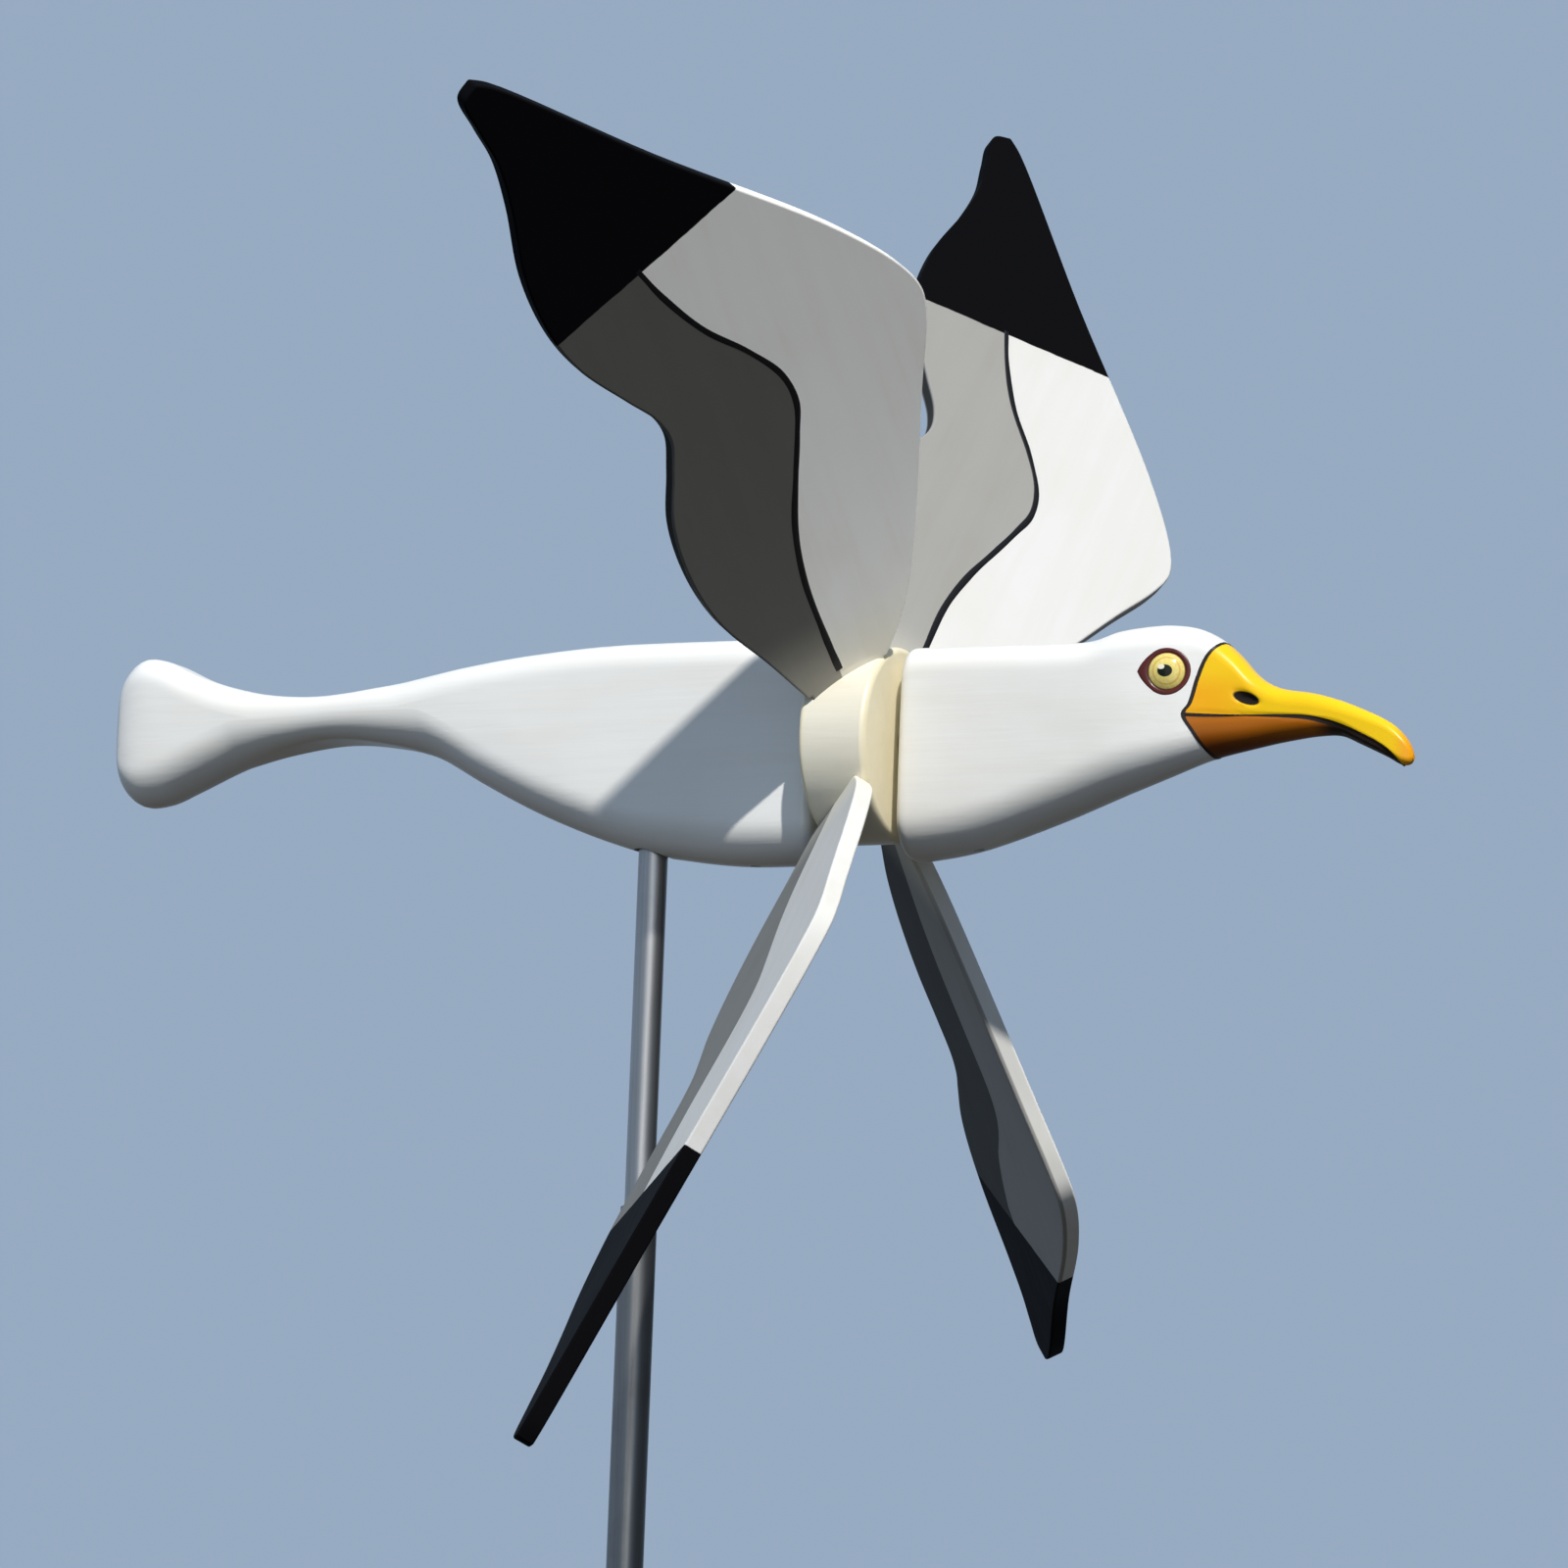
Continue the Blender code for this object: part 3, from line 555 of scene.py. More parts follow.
def eye_rim(name, side, tree):
    """The dark rim painted round an eye, drawn out to a point toward the tail."""
    matrix = eye_frame(side)
    steps, across = 120, 6
    rear = math.pi if side < 0 else 0.0
    rows = []
    for step in range(steps):
        angle = 2 * math.pi * step / steps
        away = abs((angle - rear + math.pi) % (2 * math.pi) - math.pi)
        inner = EYE_RADIUS + 0.1
        point, unsteady = 2.7 * max(0, 1 - away / 0.85) ** 1.6, 0.12 * math.sin(3 * angle + 1)
        outer = 10.1 + point + unsteady
        rows.append([
            (math.cos(angle) * radius, math.sin(angle) * radius)
            for radius in (inner + (outer - inner) * index / across for index in range(across + 1))
        ])
    return skin(name, matrix, rows, surface_reader(tree, matrix), 0.3, closed=True)


def mouth_line(name, side, tree):
    """The black line between the halves of the bill."""
    across = Vector((-side, 0, 0))
    outward = Vector((0, side, 0))
    matrix = Matrix((across, Vector((0, 0, 1)), outward)).transposed().to_4x4()
    matrix = Matrix.Translation(HUB) @ matrix
    line = [Vector((-side * point.x, point.y)) for point in curve_through(MOUTH, 7)]

    def half_width(share):
        thin = 1 - 0.55 * math.exp(-((share - 0.24) / 0.09) ** 2)
        return (0.75 + 0.35 * smooth(share, 0.35, 0.6)) * thin * (1 - 0.7 * smooth(share, 0.9, 1))
    return skin(name, matrix, ribbon_rows(line, half_width), surface_reader(tree, matrix), 0.12)


# -------- rotor

def wing_direction(index):
    phase = math.radians(WING_PHASES[index])
    return Vector((0, -math.cos(phase), math.sin(phase)))


def wing_frame(index):
    """Local X is the chord, local Y the span and local Z the wing's front."""
    pitch, phase = math.radians(WING_PITCHES[index]), math.radians(WING_PHASES[index])
    span = wing_direction(index)
    around = Vector((0, math.sin(phase), math.cos(phase)))
    chord = math.cos(pitch) * Vector((1, 0, 0)) + math.sin(pitch) * around
    return AT_HUB @ Matrix((chord, span, chord.cross(span))).transposed().to_4x4()


def screw_frame(index):
    """Local Z runs forward from the hub's rear face."""
    place = wing_direction(index) * WING_SCREW_RADIUS * MM + Vector((-HUB_HALF, 0, 0))
    return AT_HUB @ Matrix.Translation(place) @ TO_X


def wing(index):
    edges = curve_through(WING_FRONT_EDGE, 8)[:-1] + curve_through(WING_REAR_EDGE, 8)
    tongue = [
        (side * WING_TONGUE, span)
        for side, span in ((-1, WING_SHOULDER), (-1, WING_ROOT), (1, WING_ROOT), (1, WING_SHOULDER))
    ]
    outline = [(point.y, point.x) for point in edges] + tongue
    board = slab(f"wing_board_{index + 1}", outline, WING_THICKNESS / 2, wing_frame(index))
    rounding = board.modifiers.new("edge", "BEVEL")
    rounding.width = WING_ROUND * MM
    rounding.segments = 5
    rounding.limit_method = "ANGLE"
    rounding.angle_limit = math.radians(60)
    hole = drill("screw_hole", SCREW_SHANK + CLEARANCE, -5, 30, screw_frame(index), 24)
    return cut(board, [hole])


def line_points(index):
    """The line of one wing, as (span, chord)."""
    shift = WING_LINE_SHIFT[index]
    return [(span, chord + shift * (1 - smooth(span, 115, 190))) for span, chord in WING_LINE]


def wing_line(index):
    line = [Vector((point.y, point.x)) for point in curve_through(line_points(index), 8)]

    def half_width(share):
        wobble = 0.12 * math.sin(share * 23 + index) + 0.08 * math.sin(share * 57 + 2 * index)
        return 1.15 + 0.45 * (1 - share) + wobble
    rows, matrix = ribbon_rows(line, half_width), wing_frame(index)
    return skin(f"wing_line_{index + 1}", matrix, rows, lambda x, y: WING_THICKNESS / 2, 0.16)


def wing_screw(index):
    """Countersunk screw with a slotted head."""
    recess, head, shank, depth, length, pitch = 0.25, 3.2, SCREW_SHANK, 2.0, 25.0, 1.1
    profile = [(0, recess), (head - 0.15, recess), (head, recess + 0.15), (shank, recess + depth)]
    for turn in range(int((length - 5 - recess - depth) / pitch)):
        base = recess + depth + 0.6 + turn * pitch
        profile += [(shank, base), (shank - 0.35, base + pitch / 2)]
    profile += [(shank - 0.2, length - 3), (0, length)]
    screw = made(f"wing_screw_head_{index + 1}", spun(profile, 32))
    slot = bmesh.new()
    bmesh.ops.create_cube(slot, size=1)
    bmesh.ops.scale(slot, verts=slot.verts, vec=Vector((0.9, 8, 1.9)) * MM)
    bmesh.ops.rotate(slot, verts=slot.verts, matrix=Matrix.Rotation(0.5 + 1.3 * index, 3, "Z"))
    screw = cut(screw, [made("slot", slot)])
    screw.matrix_world = screw_frame(index)
    return screw


def hub():
    radius, half = HUB_RADIUS / MM, HUB_HALF / MM
    rear_ease, front_ease, steps = 2.2, 3.0, 10
    quarter = [step / steps * math.pi / 2 for step in range(steps + 1)]
    profile = [(0, -half)]
    for turn in quarter:
        out, along = rear_ease * math.sin(turn), rear_ease * math.cos(turn)
        profile.append((radius - rear_ease + out, rear_ease - half - along))
    for turn in quarter:
        out, along = front_ease * math.cos(turn), front_ease * math.sin(turn)
        profile.append((radius - front_ease + out, half - front_ease + along))
    profile.append((0, half))
    along_axle = AT_HUB @ TO_X
    body = made("hub_painted", spun(profile, 144), along_axle)
    flange, bore = half_size("front_hub_bushing", 2) + 0.2, 5.0
    seat, past = half - 1.5, half + 5          # each bushing's flange lies in a shallow seat
    bores = (
        (0, -past), (flange, -past), (flange, -seat), (bore, -seat), (bore, seat),
        (flange, seat), (flange, past), (0, past),
    )
    tools = [made("bore", spun(bores, 72), along_axle)]
    for index in range(4):
        chord, root, open_end = WING_TONGUE + FIT, WING_ROOT - FIT, 60
        corners = ((-chord, root), (chord, root), (chord, open_end), (-chord, open_end))
        tools.append(slab("mortise", corners, WING_THICKNESS / 2 + FIT, wing_frame(index)))
        countersunk = ((0, -5), (3.5, -5), (3.5, 0.45), (1.75, 2.6), (1.75, 25.4), (0, 25.4))
        tools.append(made("screw_hole", spun(countersunk, 32), screw_frame(index)))
    return cut(body, tools)


# -------- turned metal and small parts

def radius_of(node):
    return half_size(node, 1)


def rod(ease):
    def profile(radius, half):
        return eased(((0, -half), (radius, -half), (radius, half), (0, half)), ease)
    return profile


def pipe(bore, ease):
    def profile(radius, half):
        corners = ((bore, -half), (radius, -half), (radius, half), (bore, half))
        return closed_profile(corners, ease)
    return profile


def small_parts():
    """(object, CAD node, body, material, slot) for every plain rod and pipe, each a finer
    part in the place of its node."""
    rows = []

    def add(name, node, body, finish, slot, profile_of, direction=UP, steps=64, ring=False):
        length = half_size(node, 0 if direction is TO_X else 2)
        turned = spun(profile_of(radius_of(node), length), steps, ring)
        obj = made(name, turned, Matrix.Translation(middle(node)) @ direction)
        rows.append((obj, node, body, finish, slot))

    wall = 1.2
    axle_bore = radius_of("axle") + CLEARANCE
    rod_bore = radius_of("pivot_rod") + CLEARANCE
    add("mast_tube_drawn", "mast_tube", "mast", "zinc", "zinc_steel",
        pipe(radius_of("mast_tube") - wall, 0.45), ring=True)
    add("pivot_rod_bright", "pivot_rod", "mast", "steel", "steel", rod(1.2))
    add("axle_rod", "axle", "bird", "steel", "steel", rod(0.6), TO_X)
    for end in ("front", "rear"):
        add(f"{end}_pin", f"{end}_axle_pin", "bird", "steel", "steel", rod(0.5), steps=40)
    add("rear_washer_nylon", "rear_nylon_washer", "bird", "nylon", "nylon",
        pipe(axle_bore, 0.4), TO_X, ring=True)
    for end in ("front", "rear"):
        add(f"{end}_washer_steel", f"{end}_steel_washer", "bird", "steel", "steel",
            pipe(axle_bore, 0.3), TO_X, ring=True)
    add("pivot_sleeve_brass", "pivot_sleeve", "bird", "brass", "brass",
        pipe(rod_bore, 0.5), ring=True)
    add("pivot_stop_disc", "pivot_disc", "bird", "steel", "steel", rod(0.4))
    return rows


def bushing(name, direction):
    inner, outer, flange = 3.475, 4.8, 7.0
    face = HUB_HALF / MM - 0.1
    end, shoulder = face - 14, face - 1.2
    corners = (
        (inner, end), (outer, end), (outer, shoulder), (flange, shoulder), (flange, face),
        (inner, face),
    )
    return made(name, spun(closed_profile(corners, 0.3), 72, ring=True), AT_HUB @ direction)


def foot_plug():
    """Moulded rubber plug: flange with a soft edge and three grip ribs on the stem."""
    tube = radius_of("mast_tube")
    stem = tube - 1.5
    profile = [(0, 0), (tube, 0), (tube, 3), (stem - 0.5, 3)]
    for rib in range(3):
        base = 6 + rib * 5
        profile += [(stem - 0.5, base), (stem, base + 0.8), (stem - 0.5, base + 2.2)]
    profile += [(stem - 0.5, 24), (stem - 1.5, 25), (0, 25)]
    return made("mast_foot_moulded", spun(eased(profile, 0.5, 3), 72), Matrix.Translation(MAST))


def thumb_screw():
    """Knurled clamping screw on the far side of the tube, turned from +Y toward the tail."""
    head = half_size("mast_thumb_screw", 2)
    start = radius_of("pivot_rod") + CLEARANCE
    neck = radius_of("mast_tube") + 0.6
    end = neck + 5
    profile = eased((
        (0, start), (2, start), (2, neck), (head - 0.2, neck), (head - 0.2, end), (2.4, end),
        (2.1, end - 0.6), (0, end - 0.6),
    ), 0.5, 4)

    def knurl(angle, radius, height):
        return 1 + 0.035 * math.cos(28 * angle) if radius > head - 0.6 and height > neck else 1
    turn = Matrix.Rotation(math.radians(24), 4, "Z") @ Matrix.Rotation(-math.pi / 2, 4, "X")
    place = Matrix.Translation((MAST.x, MAST.y, middle("mast_thumb_screw").z)) @ turn
    return made("mast_clamp_screw", spun(profile, 168, radius_at=knurl), place)


# -------- materials

class Nodes:
    """A node tree, with short calls for the nodes used here. Lengths in it are in metres."""

    def __init__(self, tree, coordinates):
        self.tree = tree
        self.place = self.node("ShaderNodeTexCoord", output=coordinates)

    def put(self, socket, value):
        if isinstance(value, bpy.types.NodeSocket):
            self.tree.links.new(value, socket)
        else:
            socket.default_value = value

    def node(self, kind, inputs=None, output=0, **settings):
        made_node = self.tree.nodes.new(kind)
        for key, value in settings.items():
            setattr(made_node, key, value)
        for key, value in (inputs or {}).items():
            self.put(made_node.inputs[key], value)
        return made_node.outputs[output]

    def math(self, operation, a, b=0.0, c=0.0):
        return self.node("ShaderNodeMath", {0: a, 1: b, 2: c}, operation=operation)

    def part(self, axis, vector=None):
        return self.node("ShaderNodeSeparateXYZ", {0: vector or self.place}, output=axis)

    def scaled(self, vector, factors):
        return self.node("ShaderNodeVectorMath", {0: vector, 1: factors}, operation="MULTIPLY")

    def step(self, value, low, high, start=0.0, end=1.0):
        """A smooth step of value from low to high, giving start to end."""
        inputs = {"Value": value, "From Min": low, "From Max": high, "To Min": start, "To Max": end}
        return self.node("ShaderNodeMapRange", inputs, interpolation_type="SMOOTHSTEP")

    def mix(self, factor, a, b, blend="MIX"):
        return self.node(
            "ShaderNodeMix", {0: factor, 6: a, 7: b}, output=2, data_type="RGBA", blend_type=blend,
        )

    def noise(self, vector, scale, detail=2.0, rough=0.5):
        inputs = {"Vector": vector, "Scale": scale, "Detail": detail, "Roughness": rough}
        return self.node("ShaderNodeTexNoise", inputs, output="Fac")

    def oval(self, x, y, half_x, half_y):
        """1 on the edge of an oval with these half sizes in millimetres, and less inside."""
        x, y = self.math("DIVIDE", x, half_x * MM), self.math("DIVIDE", y, half_y * MM)
        return self.math("ADD", self.math("MULTIPLY", x, x), self.math("MULTIPLY", y, y))


class Paint(Nodes):
    """A material on the Principled shader."""

    def __init__(self, name, roughness=0.4, metallic=0.0, coat=0.0, specular=0.5):
        self.material = bpy.data.materials.new(name)
        self.material.use_nodes = True
        super().__init__(self.material.node_tree, "Object")
        self.shader = self.tree.nodes["Principled BSDF"]
        self.shader.inputs["Roughness"].default_value = roughness
        self.shader.inputs["Metallic"].default_value = metallic
        self.shader.inputs["Coat Weight"].default_value = coat
        self.shader.inputs["Specular IOR Level"].default_value = specular
        self.shader.inputs["Coat Roughness"].default_value = 0.15

    def curve(self, value, points, low, high):
        """A curve given as (x, y) points, with y between low and high, read at value."""
        start, end = points[0][0], points[-1][0]
        share = self.node("ShaderNodeMapRange", {"Value": value, "From Min": start, "From Max": end})
        curve_node = self.tree.nodes.new("ShaderNodeFloatCurve")
        line = curve_node.mapping.curves[0]
        while len(line.points) < len(points):
            line.points.new(0.5, 0.5)
        for spot, (x, y) in zip(line.points, points):
            spot.location = ((x - start) / (end - start), (y - low) / (high - low))
        curve_node.mapping.update()
        self.tree.links.new(share, curve_node.inputs["Value"])
        return self.node(
            "ShaderNodeMapRange", {"Value": curve_node.outputs[0], "To Min": low, "To Max": high},
        )

    def bump(self, height, distance, strength):
        inputs = {"Height": height, "Distance": distance, "Strength": strength}
        self.put(self.shader.inputs["Normal"], self.node("ShaderNodeBump", inputs))

    def done(self, colour, roughness=None):
        self.put(self.shader.inputs["Base Color"], colour)
        if roughness is not None:
            self.put(self.shader.inputs["Roughness"], roughness)
        return self.material


def hand_painted(paint, colour, along, roughness, tint=(0.93, 0.91, 0.86, 1), relief=0.6):
    """Brushed paint over wood: streaks along the grain, faint tone changes and orange peel.
    `along` scales the place so that one unit is a streak's length and width, `tint` is what
    the streaks multiply the colour by, and `relief` is the strength of the bump."""
    streaks = paint.noise(paint.scaled(paint.place, along), 1.0, 3.0, 0.55)
    fine = paint.noise(paint.scaled(paint.place, tuple(4 * a for a in along)), 1.0, 2.0, 0.6)
    blotches = paint.noise(paint.place, 14.0, 3.0, 0.5)
    peel = paint.noise(paint.place, 520.0, 1.0)
    streaked = paint.mix(1.0, colour, tint, "MULTIPLY")
    toned = paint.mix(paint.step(streaks, 0.35, 0.75, 0.0, 0.35), colour, streaked)
    blotched = paint.mix(1.0, toned, tint, "MULTIPLY")
    toned = paint.mix(paint.step(blotches, 0.4, 0.75, 0.0, 0.5), toned, blotched)
    height = paint.math("MULTIPLY_ADD", streaks, 0.55, paint.math("MULTIPLY", fine, 0.3))
    height = paint.math("MULTIPLY_ADD", peel, 0.02, height)
    paint.bump(height, 0.22 * MM, relief)
    rough = paint.math("MULTIPLY_ADD", fine, 0.12, roughness - 0.06)
    rough = paint.math("MULTIPLY_ADD", blotches, 0.10, paint.math("SUBTRACT", rough, 0.05))
    return toned, rough


WHITE = (0.86, 0.855, 0.83, 1)
CREAM = (0.87, 0.83, 0.70, 1)
BLACK = (0.005, 0.005, 0.006, 1)
# The four wings' whites and greys differ, partly as different paint mixes and partly as painted light
# and shade: the greys of the wings that lay in shade are darker, and the sunlit second wing's white
# is dulled
WING_WHITES_FOR_LIGHT = (
    (0.88, 0.875, 0.85), (0.68, 0.675, 0.66), (0.86, 0.855, 0.83), (0.74, 0.735, 0.715),
)
WING_GREYS_WITH_SHADE = (
    (0.115, 0.113, 0.105, 1), (0.33, 0.325, 0.31, 1), (0.095, 0.095, 0.092, 1), (0.25, 0.25, 0.24, 1),
)
WING_BACK_SHADES = (1.0, 1.0, 0.43, 1.0)    # the backs' whites, as shares of the fronts': the third wing's darker back is painted shade


def body_paint():
    paint = Paint("white_gloss_paint", coat=0.25)
    colour, rough = hand_painted(paint, WHITE, (9, 150, 150), 0.36)
    return paint.done(colour, rough)


def hub_paint():
    paint = Paint("cream_gloss_paint", coat=0.2)
    from_middle = paint.math("ABSOLUTE", paint.part(2))
    face = paint.step(from_middle, HUB_HALF - 4 * MM, HUB_HALF - 0.3 * MM)
    base = paint.mix(face, CREAM, (0.86, 0.78, 0.56, 1))
    colour, rough = hand_painted(paint, base, (150, 150, 16), 0.40)
    return paint.done(colour, rough)


def wing_paint(index):
    """White and grey halves, black tip, painted shade on the grey half's edges and on the darker
    backs, and cream brushed up from the hub at the root."""
    paint = Paint(f"wing_paint_{index + 1}", specular=0.002)
    chord, span, depth = paint.part(0), paint.part(1), paint.part(2)
    points = [(point.x * MM, point.y * MM) for point in curve_through(line_points(index), 2)]
    line = paint.curve(span, points, -30 * MM, 30 * MM)
    half_edge = 0.25 * MM
    white_side = paint.step(paint.math("SUBTRACT", chord, line), -half_edge, half_edge)
    root = paint.step(span, 40 * MM, 78 * MM, 0.75, 0.0)
    # painted shade: a wing's back face is darkened by its back share
    back = paint.step(depth, -2.6 * MM, -1.8 * MM, WING_BACK_SHADES[index], 1.0)
    # per-wing white and grey: paint mixes together with painted light and shade from each wing's
    # lighting
    inputs = {0: WING_WHITES_FOR_LIGHT[index], "Scale": back}
    white = paint.mix(root, paint.node("ShaderNodeVectorMath", inputs, operation="SCALE"), CREAM)
    grey = paint.mix(paint.math("MULTIPLY", root, 0.4), WING_GREYS_WITH_SHADE[index], CREAM)
    # painted shade: the grey half's edge faces are darkened nearly to black, as the shade on them
    rim = paint.step(paint.math("ABSOLUTE", depth), 2.0 * MM, 3.2 * MM, 0.85, 0.0)
    grey = paint.mix(rim, grey, (0.02, 0.02, 0.022, 1))
    colour = paint.mix(white_side, grey, white)
    ragged = paint.math("MULTIPLY_ADD", paint.noise(paint.place, 90.0), 1.6 * MM, -0.8 * MM)
    reach = paint.math("MULTIPLY_ADD", chord, -TIP_SLANTS[index], paint.math("ADD", span, ragged))
    tip_start = TIP_SPANS[index] * MM
    tip = paint.step(reach, tip_start - half_edge, tip_start + half_edge)
    colour, rough = hand_painted(paint, colour, (150, 9, 150), 0.40, relief=0.15)
    colour = paint.mix(tip, colour, BLACK)
    return paint.done(colour, rough)


def line_paint(name, colour):
    """Brushed enamel for the drawn lines."""
    paint = Paint(name, coat=0.1, specular=0.3)
    colour, rough = hand_painted(paint, colour, (160, 160, 160), 0.34, tint=(1.6, 1.3, 1.2, 1))
    return paint.done(colour, rough)


def bill_paint():
    """Yellow above the mouth; orange below, darkening toward the bottom as painted shade; nearly
    black under the hook, partly as painted shade; nearly black in the nostrils.
    """
    paint = Paint("bill_enamel", specular=0.22)
    local = paint.node("ShaderNodeVectorMath", {0: paint.place, 1: HUB}, operation="SUBTRACT")
    x, z = paint.part(0, local), paint.part(2, local)
    mouth_points = [(px * MM, pz * MM) for px, pz in MOUTH]
    mouth = paint.curve(x, mouth_points, -20 * MM, 10 * MM)
    above = paint.math("SUBTRACT", z, mouth)
    from_start = paint.math("SUBTRACT", x, 5 * MM)
    wander = paint.math("MULTIPLY_ADD", paint.noise(local, 60.0), 10 * MM, from_start)
    base_share = paint.step(wander, 156 * MM, 188 * MM)
    yellow = paint.mix(base_share, (0.93, 0.44, 0.003, 1), (0.93, 0.60, 0.004, 1))
    crest = paint.step(above, 9 * MM, 20 * MM)
    yellow = paint.mix(crest, yellow, (0.95, 0.60, 0.006, 1))
    yellow = paint.mix(paint.step(x, 238 * MM, 246 * MM), yellow, (0.90, 0.38, 0.008, 1))
    # painted shade: the lower half of the bill darkens toward its bottom edge
    under = paint.step(above, -15 * MM, -2 * MM)
    orange = paint.mix(under, (0.14, 0.030, 0.002, 1), (0.42, 0.125, 0.003, 1))
    # dark paint under the hook, deepened as painted shade of the hook's underside
    hook = paint.step(x, 202 * MM, 214 * MM)
    orange = paint.mix(hook, orange, (0.022, 0.012, 0.008, 1))
    colour = paint.mix(paint.step(above, -0.4 * MM, 0.4 * MM), orange, yellow)
    away_x = paint.math("SUBTRACT", x, NOSTRIL.x * MM)
    away_z = paint.math("SUBTRACT", z, NOSTRIL.y * MM)
    cos, sin = math.cos(NOSTRIL_TILT), math.sin(NOSTRIL_TILT)
    along = paint.math("MULTIPLY_ADD", away_x, cos, paint.math("MULTIPLY", away_z, sin))
    across = paint.math("MULTIPLY_ADD", away_z, cos, paint.math("MULTIPLY", away_x, -sin))
    nostril = paint.step(paint.oval(along, across, *NOSTRIL_HALF), 0.75, 1.15, 1.0, 0.0)
    tint = (0.95, 0.86, 0.8, 1)
    colour, rough = hand_painted(paint, colour, (12, 110, 110), 0.32, tint, relief=0.2)
    colour = paint.mix(nostril, colour, (0.012, 0.008, 0.006, 1))
    coat = 0.08               # none in the nostrils
    paint.put(paint.shader.inputs["Coat Weight"], paint.math("MULTIPLY_ADD", nostril, -coat, coat))
    rough = paint.math("MAXIMUM", rough, paint.math("MULTIPLY", nostril, 0.9))
    return paint.done(colour, rough)


def eye_paint(name, rear):
    """Yellow iris with an amber ring, dark pupil and a painted catchlight toward the tail,
    which lies on the side that `rear` gives: -1 or 1 along local X."""
    paint = Paint(name, coat=0.25, specular=0.1)
    x, y = paint.part(0), paint.part(1)
    flat = paint.node("ShaderNodeCombineXYZ", {0: x, 1: y})
    radius = paint.node("ShaderNodeVectorMath", {0: flat}, output="Value", operation="LENGTH")
    fibres = paint.noise(paint.scaled(paint.place, (700, 700, 10)), 1.0, 3.0)
    iris = paint.mix(paint.step(fibres, 0.3, 0.7), (0.76, 0.60, 0.15, 1), (0.82, 0.71, 0.26, 1))
    ring = paint.math("ABSOLUTE", paint.math("SUBTRACT", radius, 5.7 * MM))
    iris = paint.mix(paint.step(ring, 0.1 * MM, 0.55 * MM, 0.55, 0.0), iris, (0.62, 0.30, 0.04, 1))
    iris = paint.mix(paint.step(radius, 7.3 * MM, 7.9 * MM), iris, (0.16, 0.05, 0.02, 1))

    def spot(cx, cy, rx, ry, soft):
        dx, dy = paint.math("SUBTRACT", x, cx * MM), paint.math("SUBTRACT", y, cy * MM)
        return paint.step(paint.oval(dx, dy, rx, ry), 1 - soft, 1 + soft, 1.0, 0.0)
    colour = paint.mix(spot(rear * 0.6, -0.1, 3.2, 2.6, 0.12), iris, (0.008, 0.010, 0.004, 1))
    colour = paint.mix(spot(rear * 2.2, 1.6, 1.5, 1.1, 0.2), colour, (0.85, 0.80, 0.62, 1))
    paint.bump(fibres, 0.06 * MM, 0.4)
    return paint.done(colour, paint.math("MULTIPLY_ADD", fibres, 0.06, 0.12))


def metal(name, colour, streak, roughness, mottle):
    """Drawn or turned metal: fine streaks along the work, and a soft mottled tone."""
    paint = Paint(name, metallic=1.0)
    lines = paint.noise(paint.scaled(paint.place, streak), 1.0, 4.0, 0.6)
    cloud = paint.noise(paint.place, 45.0, 4.0, 0.6)
    dark = tuple(channel * 0.62 for channel in colour[:3]) + (1,)
    toned = paint.mix(paint.step(lines, 0.3, 0.75, 0.0, 0.45), colour, dark)
    toned = paint.mix(paint.step(cloud, 0.45, 0.8, 0.0, mottle), toned, dark)
    rough = paint.math("MULTIPLY_ADD", cloud, 0.12, roughness - 0.14)
    rough = paint.math("MULTIPLY_ADD", lines, 0.16, rough)
    paint.bump(lines, 0.04 * MM, 0.6)
    return paint.done(toned, rough)


def plain_stuff(name, colour, tint, scale, roughness, depth):
    """Nylon, rubber or bare wood: a fine grain with a soft tone change."""
    paint = Paint(name)
    grain = paint.noise(paint.scaled(paint.place, scale), 1.0, 4.0, 0.6)
    toned = paint.mix(paint.step(grain, 0.3, 0.7), colour, tint)
    paint.bump(grain, depth, 0.7)
    return paint.done(toned, paint.math("MULTIPLY_ADD", grain, 0.15, roughness - 0.07))


materials = {
    "white": body_paint(),
    "cream": hub_paint(),
    **{f"wing_{number + 1}": wing_paint(number) for number in range(4)},
    "line": line_paint("black_enamel", BLACK),
    "bill_line": line_paint("brown_black_enamel", (0.016, 0.010, 0.006, 1)),
    "rim": line_paint("dark_brown_enamel", (0.075, 0.011, 0.009, 1)),
    "bill": bill_paint(),
    "eye_right": eye_paint("right_eye_glass", -1),
    "eye_left": eye_paint("left_eye_glass", 1),
    "steel": metal("bright_steel", (0.47, 0.465, 0.46, 1), (900, 900, 12), 0.38, 0.25),
    "zinc": metal("zinc_plated_steel", (0.27, 0.267, 0.262, 1), (500, 500, 9), 0.38, 0.5),
    "brass": metal("turned_brass", (0.75, 0.56, 0.26, 1), (60, 60, 1500), 0.32, 0.4),
    "nylon": plain_stuff(
        "nylon", (0.80, 0.79, 0.74, 1), (0.72, 0.71, 0.66, 1), (300, 300, 300), 0.5, 0.03 * MM,
    ),
    "rubber": plain_stuff(
        "black_rubber", (0.020, 0.020, 0.021, 1), (0.032, 0.032, 0.033, 1), (700, 700, 700),
        0.75, 0.1 * MM,
    ),
    "beech": plain_stuff(
        "bare_beech", (0.60, 0.42, 0.25, 1), (0.46, 0.30, 0.16, 1), (12, 400, 400), 0.7, 0.08 * MM,
    ),
}


# -------- assembly

def install(obj, body, finish, node=None):
    """Give a piece its material and shading, and let it ride on its body for a CAD node."""
    obj.data.materials.clear()
    obj.data.materials.append(materials[finish])
    shaded(obj)
    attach(obj, body)
    if node:
        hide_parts(node)


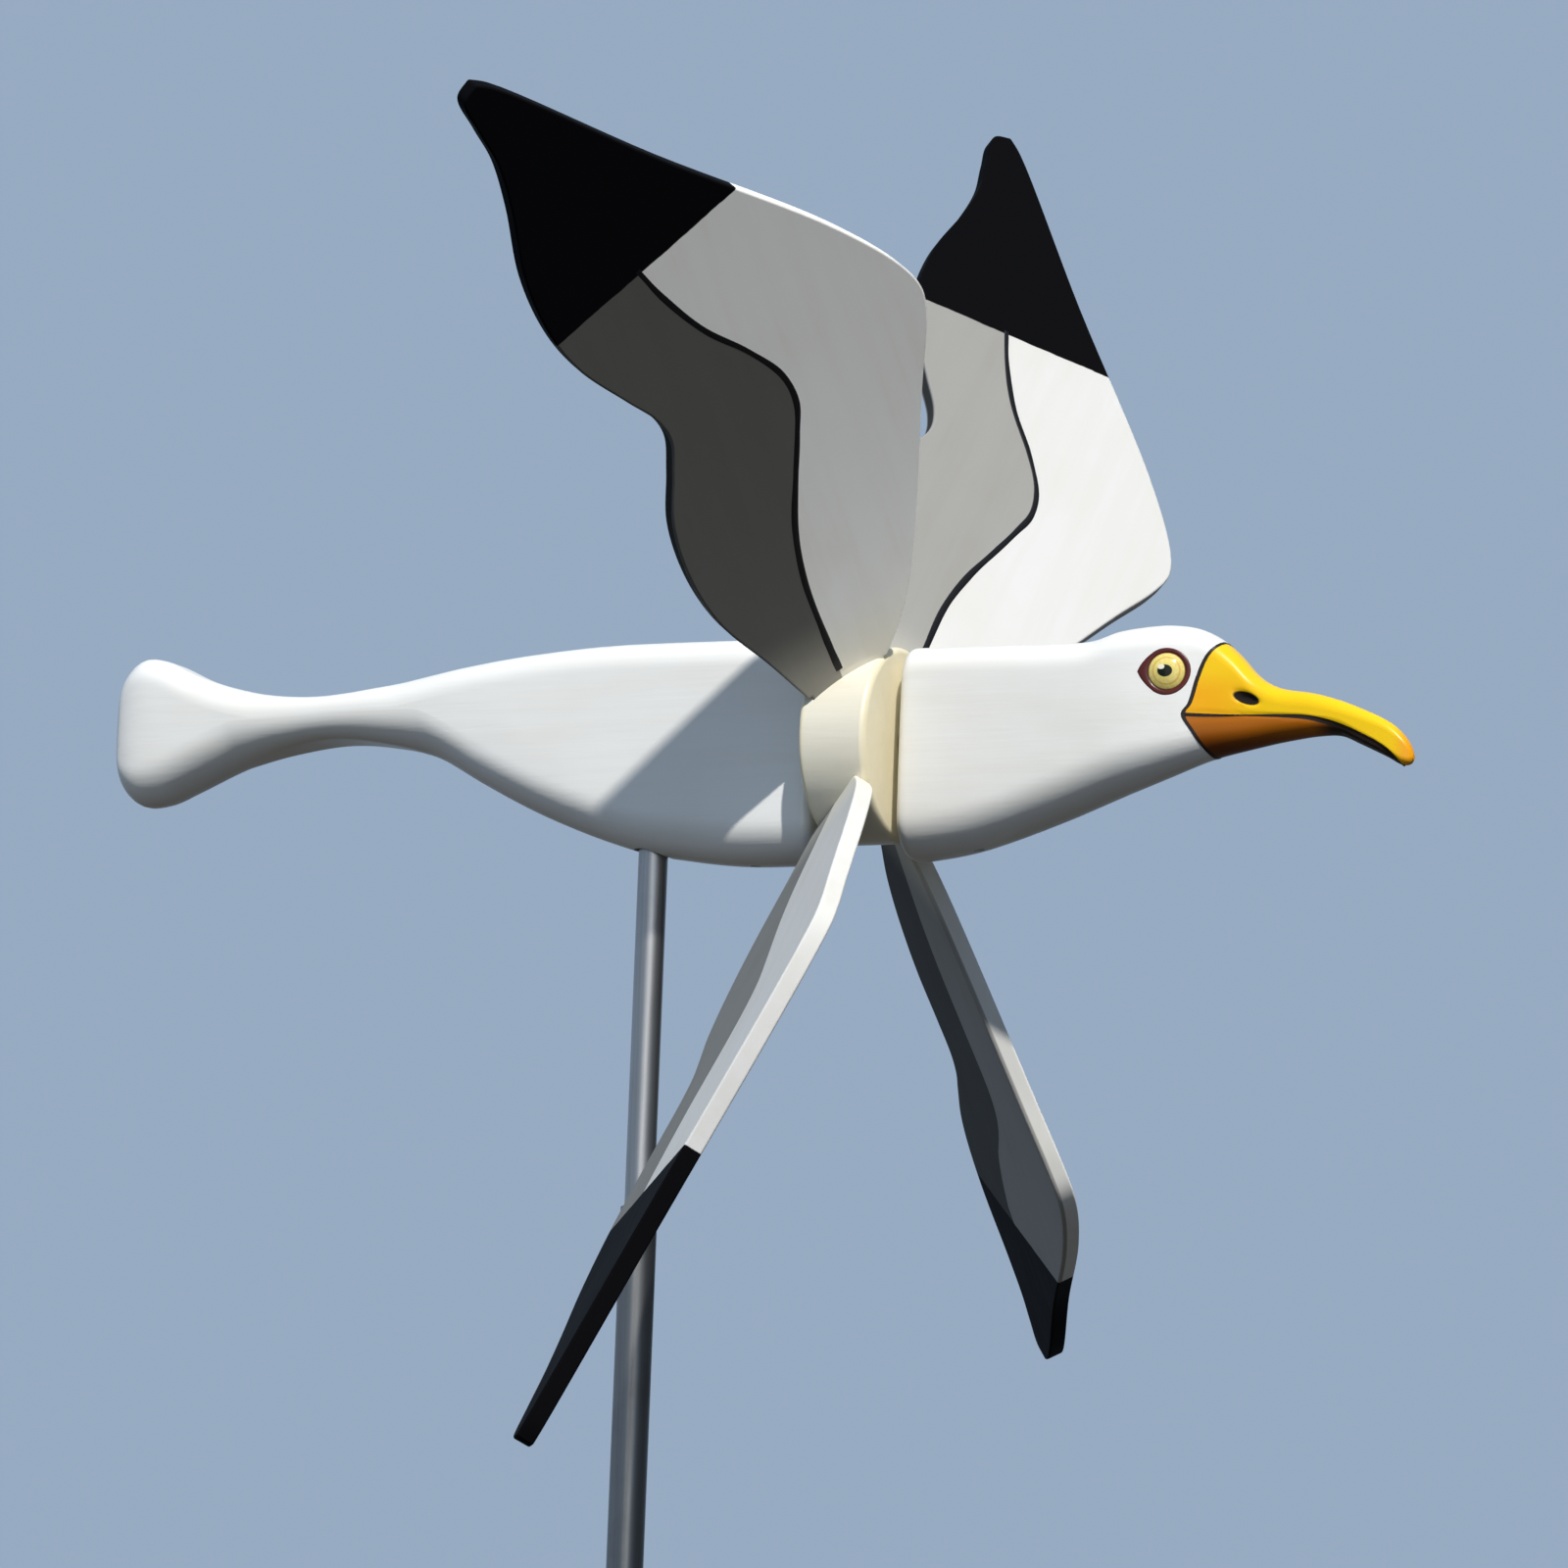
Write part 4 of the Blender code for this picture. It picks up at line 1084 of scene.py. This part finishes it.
install(rear_body(), "bird", "white", "rear_body")
install(front_body(), "bird", "white", "front_body")
install(bill(), "bird", "bill", "bill")
install(bill_outline(), "bird", "bill_line")

head_surface = BVHTree.FromBMesh(front_loft())
bill_surface = BVHTree.FromBMesh(front_loft(groove=True))
for label, side in (("right", -1), ("left", 1)):
    eyeball = eye(f"eye_glass_{label}")
    eyeball.matrix_world = eye_frame(side)
    install(eyeball, "bird", f"eye_{label}", f"eye_{label}")
    install(eye_rim(f"eye_rim_{label}", side, head_surface), "bird", "rim")
    install(mouth_line(f"mouth_line_{label}", side, bill_surface), "bird", "bill_line")

install(hub(), "rotor", "cream", "hub")
install(bushing("front_bushing_brass", TO_X), "rotor", "brass", "front_hub_bushing")
install(bushing("rear_bushing_brass", TO_MINUS_X), "rotor", "brass", "rear_hub_bushing")
for number in range(4):
    install(wing(number), "rotor", f"wing_{number + 1}", f"wing_{number + 1}")
    install(wing_line(number), "rotor", "line")
    install(wing_screw(number), "rotor", "steel", f"wing_screw_{number + 1}")

for part, node, body, finish, slot in small_parts():
    install(part, body, finish, node)
install(foot_plug(), "mast", "rubber", "mast_foot_plug")
install(thumb_screw(), "mast", "steel", "mast_thumb_screw")
for dowel_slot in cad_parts["bill_dowel"].material_slots:
    dowel_slot.material = materials["beech"]


# -------- stage, light and camera

def floor():
    bm = bmesh.new()
    bmesh.ops.create_grid(bm, x_segments=2, y_segments=2, size=20)
    obj = made("floor", bm)
    obj.location.z = -0.3 * MM
    paint = Paint("pale_floor", roughness=0.9, specular=0.0)
    tone = paint.noise(paint.place, 3.0, 2.0)
    colour = paint.mix(tone, (0.50, 0.50, 0.49, 1), (0.53, 0.53, 0.52, 1))
    obj.data.materials.append(paint.done(colour))
    obj.visible_diffuse = False       # the gull stands high up, so the floor throws no light on it
    obj.visible_glossy = False


def light(name, kind, energy, toward, **settings):
    data = bpy.data.lights.new(name, kind)
    data.energy = energy
    for key, value in settings.items():
        setattr(data, key, value)
    obj = linked(name, data)
    obj.rotation_euler = toward.to_track_quat("Z", "Y").to_euler()
    return obj


def lights():
    """A sun high on the camera's side, and a soft box that only glossy surfaces see."""
    to_sun = Vector((0.4315, -0.5523, 0.7133))
    sun_colour, sun_angle = (1.0, 0.97, 0.92), math.radians(1.3)
    light("key", "SUN", 3.85, to_sun, color=sun_colour, angle=sun_angle)
    to_box = Vector((1.3, -3.0, 0.35))
    box = light("soft_box", "AREA", 15, to_box, shape="RECTANGLE", size=2.2, size_y=2.6)
    box.location = HUB + to_box
    box.visible_camera = False
    box.visible_diffuse = False


def surroundings():
    """Soft light: bluish from above, warm grey from below, dim from the far side ahead."""
    world = bpy.data.worlds.new("studio")
    bpy.context.scene.world = world
    world.use_nodes = True
    nodes = Nodes(world.node_tree, "Generated")
    inputs = {"Value": nodes.part(2), "From Min": -0.35, "From Max": 0.05}
    rise = nodes.node("ShaderNodeMapRange", inputs)
    tone = nodes.mix(rise, (0.085, 0.082, 0.075, 1), (0.31, 0.405, 0.535, 1))
    inputs = {0: nodes.place, 1: (0.91, 0.41, 0)}
    ahead = nodes.node("ShaderNodeVectorMath", inputs, output="Value", operation="DOT_PRODUCT")
    shade = nodes.mix(nodes.step(ahead, 0.25, 0.85, 0.0, 0.85), tone, (0.03, 0.035, 0.045, 1))
    nodes.put(nodes.tree.nodes["Background"].inputs["Color"], shade)
    bpy.context.scene.view_settings.view_transform = "Standard"


def camera():
    """At the photograph's angle: a little ahead of the gull, below it and slightly rolled."""
    turn, rise, roll = math.radians(24.417), math.radians(-9.518), math.radians(2.083)
    distance, frame_width = 3.867, 0.6688          # width of the view at the hub's distance
    level = Vector((math.cos(turn), math.sin(turn), 0))
    away = Vector((math.sin(turn), -math.cos(turn), 0))
    back = away * math.cos(rise) + Vector((0, 0, math.sin(rise)))
    upright = back.cross(level)
    right = math.cos(roll) * level + math.sin(roll) * upright
    up = math.cos(roll) * upright - math.sin(roll) * level
    matrix = Matrix((right, up, back)).transposed().to_4x4()
    matrix.translation = HUB + back * distance
    data = bpy.data.cameras.new("camera")
    data.sensor_width = 36
    data.lens = data.sensor_width * distance / frame_width
    data.shift_x, data.shift_y = -0.0556, -0.0237
    data.clip_end = 100
    obj = linked("camera", data)
    obj.matrix_world = matrix
    bpy.context.scene.camera = obj


floor()
lights()
surroundings()
camera()
